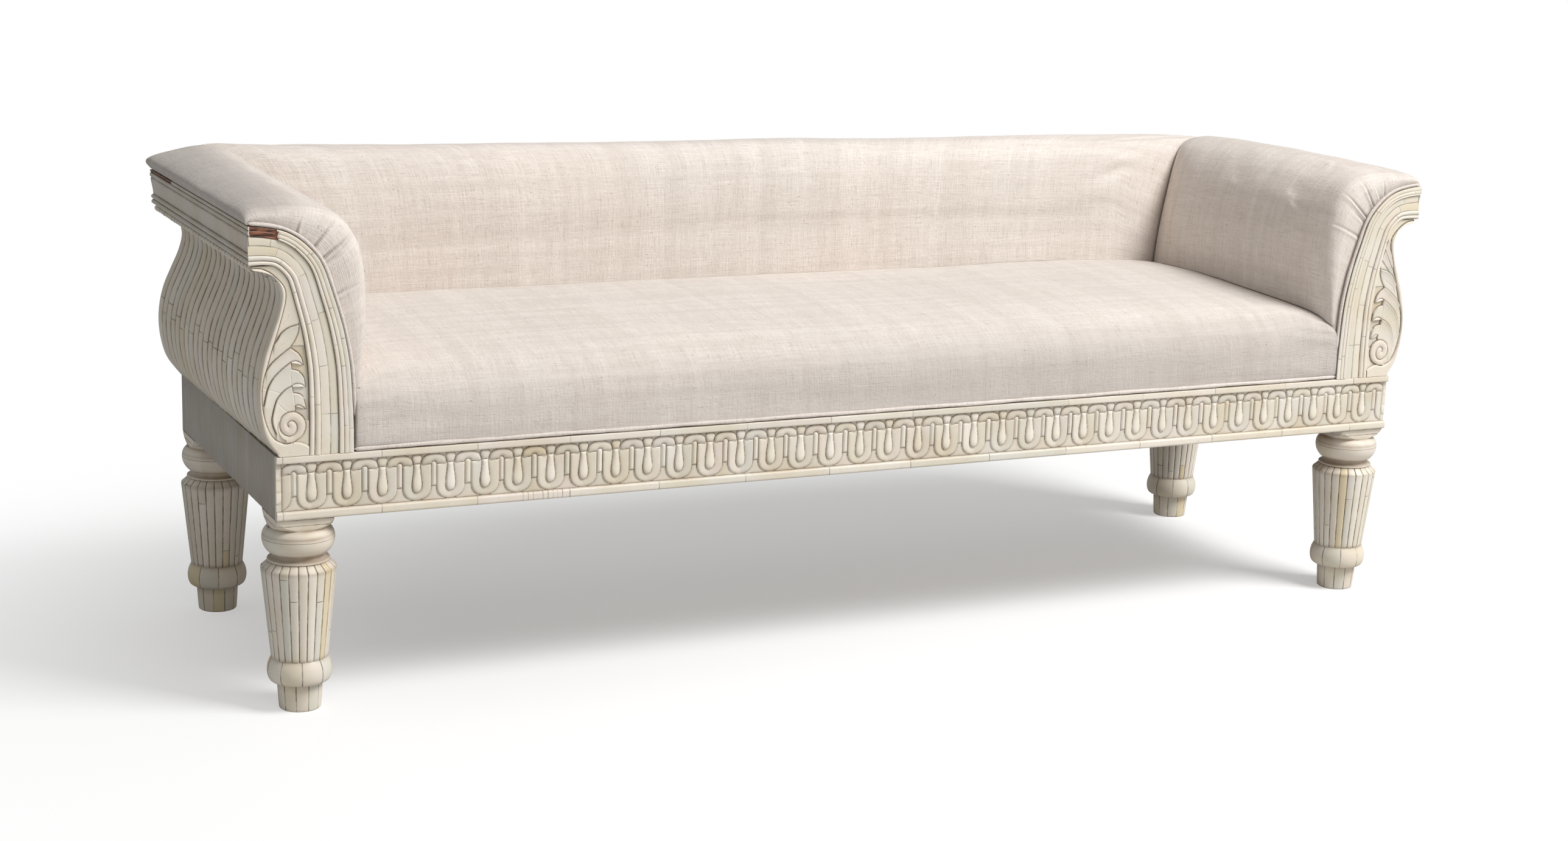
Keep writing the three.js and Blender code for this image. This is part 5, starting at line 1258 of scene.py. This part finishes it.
# The first and last rows, where top and bed meet, are left out of the mesh.
top, bottom, flat, soil_and_shade = [grid[1:-1] for grid in (top, bottom, flat, soil_and_shade)]
places, faces, corner = two_sided(top, bottom, flat)
seat = piece_from("linen_seat", places, faces, linen, corner, {"grime_and_shade": np.tile(soil_and_shade.ravel(), 2)}, crease=180)
held = np.zeros((2, *soil_and_shade.shape))
held[1] = 1
held[0, :2] = held[0, -4:] = 1
held[0, :, :3] = held[0, :, -3:] = 1
fill_out(seat, held.ravel(), 7.0)
finish_pad(seat, "seat_pad")
seat_top = shape_of(seat, *soil_and_shade.shape)[0].astype(float) * 1000


def above_seat(grid, clearance=1.5):
    """Lifts the points of a pad that would lie inside the seat to just above it: the seat's height is read
    at each point from its grid, across by columns and back by its upper surface."""
    deep = np.linspace(-300, 226, 60)
    table = np.stack([np.interp(deep, seat_top[8:-6, k, 1], seat_top[8:-6, k, 2]) for k in range(len(columns))])
    at_x = np.interp(grid[..., 0], columns * seat_half, np.arange(len(columns)))
    at_y = np.interp(grid[..., 1], deep, np.arange(len(deep)))
    i, j = np.minimum(at_x.astype(int), len(columns) - 2), np.minimum(at_y.astype(int), len(deep) - 2)
    u, v = at_x - i, at_y - j
    height = ((1 - u) * (1 - v) * table[i, j] + u * (1 - v) * table[i + 1, j]
              + (1 - u) * v * table[i, j + 1] + u * v * table[i + 1, j + 1])
    over = (np.abs(grid[..., 0]) < seat_half + 1) & (grid[..., 1] < back_foot)
    lifted = grid.copy()
    lifted[..., 2] = np.where(over, np.maximum(grid[..., 2], height + clearance), grid[..., 2])
    return lifted


# The arms and back: hair over the canvas, rolled over the top rails, under the same linen. The cloth is
# pleated round each arm's front edge, and a seam runs up each rear corner, where the rolls meet.
# Each form is an outline from the cornice over the roll to the seat, in shares of the roll's size.
pad_foot = 0.15
pad_front = [(1, 1.004), (1.035, 1.025), (0.98, 1.052), (0.83, 1.066), (0.55, 1.071), (0.26, 1.058),
             (0.04, 1.01), (-0.11, 0.905), (-0.175, 0.76), (-0.18, 0.575), (-0.14, 0.39), (-0.09, pad_foot)]
pad_middle = [(1, 1.004), (1.035, 1.028), (0.99, 1.058), (0.83, 1.078), (0.55, 1.09), (0.25, 1.08),
              (0.02, 1.03), (-0.14, 0.92), (-0.25, 0.78), (-0.31, 0.6), (-0.31, 0.42), (-0.28, pad_foot)]
pad_back = [(1, 1.004), (1.055, 1.03), (1, 1.052), (0.8, 1.066), (0.45, 1.076), (0.08, 1.068),
            (-0.17, 1.01), (-0.27, 0.92), (-0.31, 0.8), (-0.33, 0.6), (-0.33, 0.42), (-0.31, pad_foot)]
right_corner = [(1, 1.004), (1.05, 1.02), (1, 1.042), (0.8, 1.054), (0.48, 1.05), (0.28, 1),
                (0.16, 0.9), (0.06, 0.78), (-0.06, 0.62), (-0.14, 0.48), (-0.18, 0.36), (-0.2, pad_foot)]
left_corner = [(1, 1.004), (1.055, 1.025), (1.02, 1.05), (0.85, 1.08), (0.5, 1.118), (0.24, 1.09),
               (0.08, 1.01), (-0.01, 0.88), (-0.09, 0.7), (-0.15, 0.54), (-0.18, 0.4), (-0.2, pad_foot)]
pad_top, roll_level, fine, mitre_gap = 739.5, 690.0, 400, 1.3
arm_front, front_limit, arm_deep = -305.5, -306.3, 534.0


def read_at(line, places):
    """Points of a line at fractional places in its list of points."""
    return np.stack([np.interp(places, np.arange(len(line)), line[:, k]) for k in (0, 1)], 1)


def outer_line(shares, foot, reach, count):
    """A stuffed form's outer line, from the cornice over the roll and down to the seat."""
    return through(np.array(shares) * [reach, arm_height] + [foot, rail_top], count)


def bed_line(line, count):
    """The stuffing's bed on the roll, on the same run of points: from the roll's end down to the foot."""
    moved = beside(line, -1.0)
    moved = moved[moved[:, 1] > rail_top + pad_foot * arm_height][::-1]
    return read_at(moved, np.linspace(0, len(moved) - 1, count))


def weighted(shares, table):
    """Values read from a table of (place, value) pairs, with even bends between them."""
    smooth = through(table, 400)
    return np.interp(shares, smooth[:, 0], smooth[:, 1])


def between(start, end, share):
    """Lines that turn from one line into another by a share for each column: start (1 - share) + end share."""
    return start * (1 - share)[None, :, None] + end * share[None, :, None]


def stuffed_arm(side, corner, name, node, seed, soiled_and_shaded, pleats):
    """Section by section from the front: the front form turns into the full one, and that into the corner's.
    The cloth closes down on the bed over the first 29 mm in a quarter circle, and dips in at the rear seam.
    Its rows lie 2.3 mm apart where the cloth is pleated, as the pleats are only 4 mm wide. The pleats are
    pressed in after the stuffing: each is (mm down from the cornice, length, lean, depth)."""
    forms = [outer_line(shares, arm_foot, arm_roll, fine) for shares in (pad_front, pad_middle, corner)]
    run = length_along(forms[0])
    rows = np.concatenate([np.linspace(0, 50, 9)[:-1], np.linspace(50, 290, 105)[:-1], np.linspace(290, run[-1], 24)])
    places = np.interp(rows, run, np.arange(fine))

    # Each point of the form is set against the nearest one of the bed, evened out along the line.
    bed = bed_line(arm_line, fine)
    nearest = np.linalg.norm(forms[0][:, None] - bed[None], axis=2).argmin(1)
    nearest = np.maximum.accumulate(nearest) * 0.85 + np.arange(fine) * 0.15
    smooth = np.convolve(np.pad(nearest, 20, "edge"), np.ones(41) / 41, "valid")
    smooth = (smooth - smooth[0]) / (smooth[-1] - smooth[0]) * (fine - 1)
    forms = [read_at(form, places)[:, None] for form in forms]
    bed = read_at(bed, np.interp(places, np.arange(fine), smooth))[:, None]

    front_closing = np.array([0.05, 0.2, 0.35, 0.49, 0.61, 0.72, 0.82, 0.9, 0.95, 0.98, 1.0])
    front_depth = np.array([1.5, 0.6, 0.2, 0, 0.5, 1.8, 4.4, 8.6, 13.4, 20.0, 29.0])
    along = np.concatenate([front_depth / arm_deep, np.linspace(0.06, 0.985, 58), [0.992, 0.997, 1.0]])
    middle = weighted(along, [(0, 0), (0.045, 0.02), (0.2, 0.45), (0.4, 0.85), (0.7, 1), (0.92, 1), (1.0, 1)])
    end = weighted(along, [(0, 0), (0.2, 0), (0.4, 0.05), (0.7, 0.3), (0.92, 0.65), (1, 1)])
    form = between(between(forms[0], forms[1], middle), forms[2], end)
    closing = np.ones(len(along))
    closing[:11] = front_closing
    closing = closing * (1 - 0.16 * np.exp(-(1 - along) * arm_deep / 9.0))
    grids = []
    for line in (between(bed, form, closing), np.repeat(bed, len(along), axis=1)):
        finish = arm_end(line[..., 0]) - mitre_gap
        y = arm_front + (finish - arm_front) * along[None, :]
        grids.append(np.stack([line[..., 0], y, line[..., 1]], -1))
    top, bottom = grids

    # Over the cloth, in millimetres down from the cornice (ps) and back from the welt (py).
    from_welt = np.cumsum(np.hypot(np.diff(closing, prepend=0) * 40.0, np.diff(along * arm_deep, prepend=0)))
    ps, py = np.broadcast_arrays(rows[:, None], from_welt[None, :])
    calm = np.clip(ps / 30, 0, 1) * np.clip((run[-1] - ps) / 20, 0, 1)
    calm = calm * np.clip(py / 20, 0, 1) * np.clip((560 - py) / 20, 0, 1)
    push = (1.8 * unevenness(ps, py, seed, 220) + 0.7 * unevenness(ps, py, seed + 1, 60)) * calm
    normal = outward(top)
    top = top + normal * push[..., None] * np.sign(normal[70, 30, 0]) * -1
    top[..., 1] = np.maximum(top[..., 1], front_limit)
    if side < 0:
        top[..., 2] += 7.0 * np.clip((top[..., 2] - roll_level) / 40.0, 0, 1) * along[None, :] ** 1.5
    top[..., 2] = np.minimum(top[..., 2], pad_top)
    top, bottom = above_seat(top * [side, 1, 1]), bottom * [side, 1, 1]
    flat = np.stack([ps * 0.001 + 3.0, py * 0.001], -1)
    places, faces, corner_flat = two_sided(top, bottom, flat)
    pressed = np.zeros(ps.shape)
    for at, reach, lean, depth in pleats:
        t = (py + 4) / (reach + 4)
        off = ps - at - lean * t - 2.2 * np.sin(3.2 * t + at)
        width = 2.3 - 1.0 * t.clip(0, 1)
        bell = np.exp(-(off / width) ** 2) - 0.55 * np.exp(-((off - 2.3 * width) / (1.9 * width)) ** 2)
        pressed += depth * np.clip(1 - t, 0, 1) ** 0.7 * bell
    # Greys the cloth: near the cornice by soiling and by painted shade on the slope turned from the lamps, by the given
    # amount, and in the pleats by painted shade.
    soil_and_shade = soiled_and_shaded * np.clip((112 - ps) / 50, 0, 1) * np.clip(py / 50, 0, 1) + 0.17 * pressed.clip(0, 5)
    pad = piece_from(name, places, faces, linen, corner_flat, {"grime_and_shade": np.tile(soil_and_shade.ravel(), 2)}, crease=180)
    held = np.zeros((2, len(rows), len(along)))
    held[1] = 1
    held[0, :3] = held[0, rows > run[-1] - 90] = 1
    held[0, :, :4] = held[0, :, -3:] = 1
    fill_out(pad, held.ravel(), 5.0)
    stuffed = shape_of(pad, len(rows), len(along))
    normal = outward(stuffed[0])
    stuffed[0] += normal * pressed[..., None] * 0.001 * np.sign(normal[70, 30, 0]) * side
    pad.data.vertices.foreach_set("co", stuffed.ravel())
    finish_pad(pad, node)


# The fourth number greys the cloth near the cornice, as soiling and painted shade: more on the left arm, whose outer
# slope is turned from the lamps.
stuffed_arm(1, right_corner, "linen_arm_right", "arm_pad_right", 21, 0.12, [
    (103, 28, -5, 4.6), (115, 22, 8, 2.2), (140, 40, 1, 5.4), (170, 42, 5, 5.8), (184, 26, 9, 2.6), (219, 50, 9, 3.4)])
stuffed_arm(-1, left_corner, "linen_arm_left", "arm_pad_left", 33, 0.4, [
    (104, 26, -7, 4.2), (112, 18, 8, 2.0), (148, 38, 1, 5.2), (175, 44, 4, 6.2), (186, 26, 12, 2.8), (243, 34, 5, 3.8)])


# The back's pad is made the same way, from corner to corner, with the corner forms blended in towards
# each end. Its first rows lie on the roll, and its last 14 behind the seat, where they are tacked.
back_rows = 62
full, left, right = [outer_line(shares, back_foot, back_roll, back_rows)[:, None]
                     for shares in (pad_back, left_corner, right_corner)]
bed = bed_line(back_line, back_rows)[:, None]
across = np.concatenate([[-1, -0.997, -0.992], np.linspace(-0.985, 0.985, 190), [0.992, 0.997, 1]])
fullness = weighted(across, [
    (-1, 1), (-0.93, 1.02), (-0.8, 1.04), (-0.4, 1.04), (0, 1.04), (0.8, 1), (0.93, 1), (1, 1)])
cornered = weighted(across, [
    (-1, 1), (-0.93, 0.6), (-0.8, 0.45), (-0.4, 0.2), (0, 0), (0.8, 0.1), (0.93, 0.5), (1, 1)])
form = between(full, np.where((across < 0)[None, :, None], left, right), cornered)
closing = fullness * (1 - 0.16 * np.exp(-(1 - np.abs(across)) * arm_foot / 9.0))
top, bottom = [np.stack([across[None, :] * (back_end(line[..., 0]) - mitre_gap), line[..., 0], line[..., 1]], -1)
               for line in (between(bed, form, closing), np.repeat(bed, len(across), axis=1))]
run = length_along(full[:, 0])
ps, px = np.broadcast_arrays(run[:, None], across[None, :] * arm_foot)
calm = np.clip(ps / 30, 0, 1) * np.clip((run[-1] - ps) / 20, 0, 1) * np.clip((arm_foot - np.abs(px)) / 20, 0, 1)
push = (2.0 * unevenness(px, ps, 51, 300) + 0.6 * unevenness(px, ps, 52, 80)) * calm
normal = outward(top)
top = top + normal * push[..., None] * -np.sign(normal[40, 90, 1])
higher = np.interp(across, [-1, -0.6, 0, 0.6, 1], [8.0, 5.0, 4.0, 3.0, 0.0])[None, :]
top[..., 2] += higher * np.clip((top[..., 2] - roll_level) / 40.0, 0, 1)
top[..., 2] = np.minimum(top[..., 2], pad_top)
places, faces, corner = two_sided(above_seat(top), bottom, np.stack([px * 0.001, ps * 0.001 + 5.0], -1))
back = piece_from("linen_back", places, faces, linen, corner, crease=180)
held = np.zeros((2, back_rows, len(across)))
held[1] = 1
held[0, :2] = held[0, -14:] = 1
held[0, :, :3] = held[0, :, -3:] = 1
fill_out(back, held.ravel(), 5.0)
finish_pad(back, "back_pad")


# Welts: soft cords in bias strips of the linen, sewn along the pads' edges where they meet the bone of
# the arms' fronts and of the seat's foot.
around_welt = 12


def welt(name, path, radius, node, seed):
    """A flattened tube carried along a path: its radius swells and narrows as hand-sewn cord does, by two
    sines of the length, and each end closes to a point."""
    path = np.asarray(path, float)
    length = length_along(path)
    even = np.linspace(0, length[-1], int(length[-1] / 4) + 2)
    path = np.stack([np.interp(even, length, path[:, k]) for k in range(3)], 1)
    along = direction(path)
    side = np.cross(along, [0, 1, 0])
    side /= np.linalg.norm(side, axis=1, keepdims=True)
    lift = np.cross(side, along)
    size = radius * (1 - 0.1 * (1 + np.sin(even / 9.0 + seed) * 0.6 + np.sin(even / 23.0 + seed * 2) * 0.6))
    size *= np.sqrt(np.clip(np.minimum(even, even[-1] - even) / 5.0, 0, 1) * 0.96 + 0.04)
    turn = np.linspace(0, 2 * math.pi, around_welt + 1)[:-1]
    rounds = (path[None] + side[None] * (np.cos(turn)[:, None, None] * size[None, :, None])
              + lift[None] * (np.sin(turn)[:, None, None] * size[None, :, None] * 0.92))
    quads, caps = tube_faces(around_welt, len(even))
    flat = np.stack(np.broadcast_arrays(turn[:, None] * radius * 0.001, even[None, :] * 0.001 + 7), -1).reshape(-1, 2)
    flat = np.concatenate([flat, flat[:1], flat[-1:]])
    made = piece_from(name, np.concatenate([rounds.reshape(-1, 3), path[:1], path[-1:]]), [quads, caps], linen,
                      [flat[quads], flat[caps]], crease=180)
    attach(made, "root")
    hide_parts(node)


edge = beside(arm_line, -3.3)
edge = edge[edge[:, 1] > rail_top + pad_foot * arm_height]
for side, tag in ((1, "right"), (-1, "left")):
    welt(f"linen_welt_arm_{tag}", np.stack([side * edge[:, 0], np.full(len(edge), -309.5), edge[:, 1]], 1), 3.0,
         f"arm_welt_{tag}", 2 + side)
x = np.linspace(-840.3, 840.3, 300)
welt("linen_welt_seat", np.stack([x, np.full(300, -310.2), 380.3 + 0.3 * np.sin(x / 31.0)], 1), 3.5, "seat_welt", 9)


# The plain pale floor and soft light of a photographer's studio. Beyond the sofa the floor turns to
# plain white for the camera, as a lit paper sweep does.
sweep, tree = empty_material("white_paper_sweep")
place = add(tree, "Mapping", [add(tree, "TexCoord", out="Object"), (-0.14, 0.0, 0.0), None, (0.62, 1.0, 1.0)])
far = add(tree, "VectorMath", [place], out="Value", operation="LENGTH")
paper = add(tree, "BsdfDiffuse", [linear("#CFCFCE")])
seen = add(tree, "LightPath", out="Is Camera Ray")
glow = add(tree, "Emission", [(1, 1, 1, 1), add(tree, "Math", [seen, 0.35], operation="MULTIPLY")])
near_floor = add(tree, "AddShader", [paper, glow])
white = add(tree, "Emission", [(1, 1, 1, 1), 1.0])
fade_out = add(tree, "MapRange", [far, 0.5, 1.5, 0.0, 1.0], interpolation_type="SMOOTHSTEP")
fade_out = add(tree, "Math", [fade_out, seen], operation="MULTIPLY")
both = add(tree, "MixShader", [fade_out, near_floor, white])
add(tree, "OutputMaterial", [both])
mesh = bpy.data.meshes.new("studio_floor")
mesh.from_pydata([(-40, -40, 0), (40, -40, 0), (40, 40, 0), (-40, 40, 0)], [], [(0, 1, 2, 3)])
mesh.materials.append(sweep)
floor = bpy.data.objects.new("studio_floor", mesh)
scene.collection.objects.link(floor)

world = bpy.data.worlds.new("studio")
scene.world = world
world.use_nodes = True
tree = world.node_tree
tree.nodes.clear()
seen = add(tree, "LightPath", out="Is Camera Ray")
seen = add(tree, "Math", [seen, seen.node.outputs["Is Transmission Ray"]], operation="MAXIMUM")
shade = add(tree, "Background", [(1, 1, 1, 1), add(tree, "MapRange", [seen, 0.0, 1.0, 0.35, 1.0])])
add(tree, "OutputWorld", [shade])


def soft_lamp(name, place, target, size, power):
    """A square soft box that faces the target."""
    lamp = bpy.data.lights.new(name, "AREA")
    lamp.shape, lamp.size, lamp.energy = "SQUARE", size, power
    made = bpy.data.objects.new(name, lamp)
    facing = (Vector(target) - Vector(place)).to_track_quat("-Z", "Y")
    made.matrix_world = Matrix.Translation(place) @ facing.to_matrix().to_4x4()
    scene.collection.objects.link(made)


soft_lamp("key_box", (2.94, -3.36, 5.72), (0, 0, 0.4), 2.8, 506.0)
soft_lamp("front_box", (0.0, -5.0, 2.4), (0, 0, 0.4), 3.0, 16.0)

# The camera stands to the front left, a little above the back, as the photographer's did.
turn, down, roll_angle = math.radians(25.883), math.radians(12.711), math.radians(1.868)
forward = Vector((math.sin(turn) * math.cos(down), math.cos(turn) * math.cos(down), -math.sin(down)))
level_right = Vector((math.cos(turn), -math.sin(turn), 0))
level_up = level_right.cross(forward)
right = math.cos(roll_angle) * level_right + math.sin(roll_angle) * level_up
up = -math.sin(roll_angle) * level_right + math.cos(roll_angle) * level_up
lens = bpy.data.cameras.new("camera")
lens.sensor_fit, lens.sensor_width, lens.lens = "HORIZONTAL", 36.0, 57.51
lens.clip_end = 200
camera = bpy.data.objects.new("camera", lens)
camera.matrix_world = Matrix((
    (right.x, up.x, -forward.x, -1.7781), (right.y, up.y, -forward.y, -3.6034),
    (right.z, up.z, -forward.z, 1.2010), (0, 0, 0, 1)))
scene.collection.objects.link(camera)
scene.camera = camera
scene.view_settings.view_transform = "Standard"
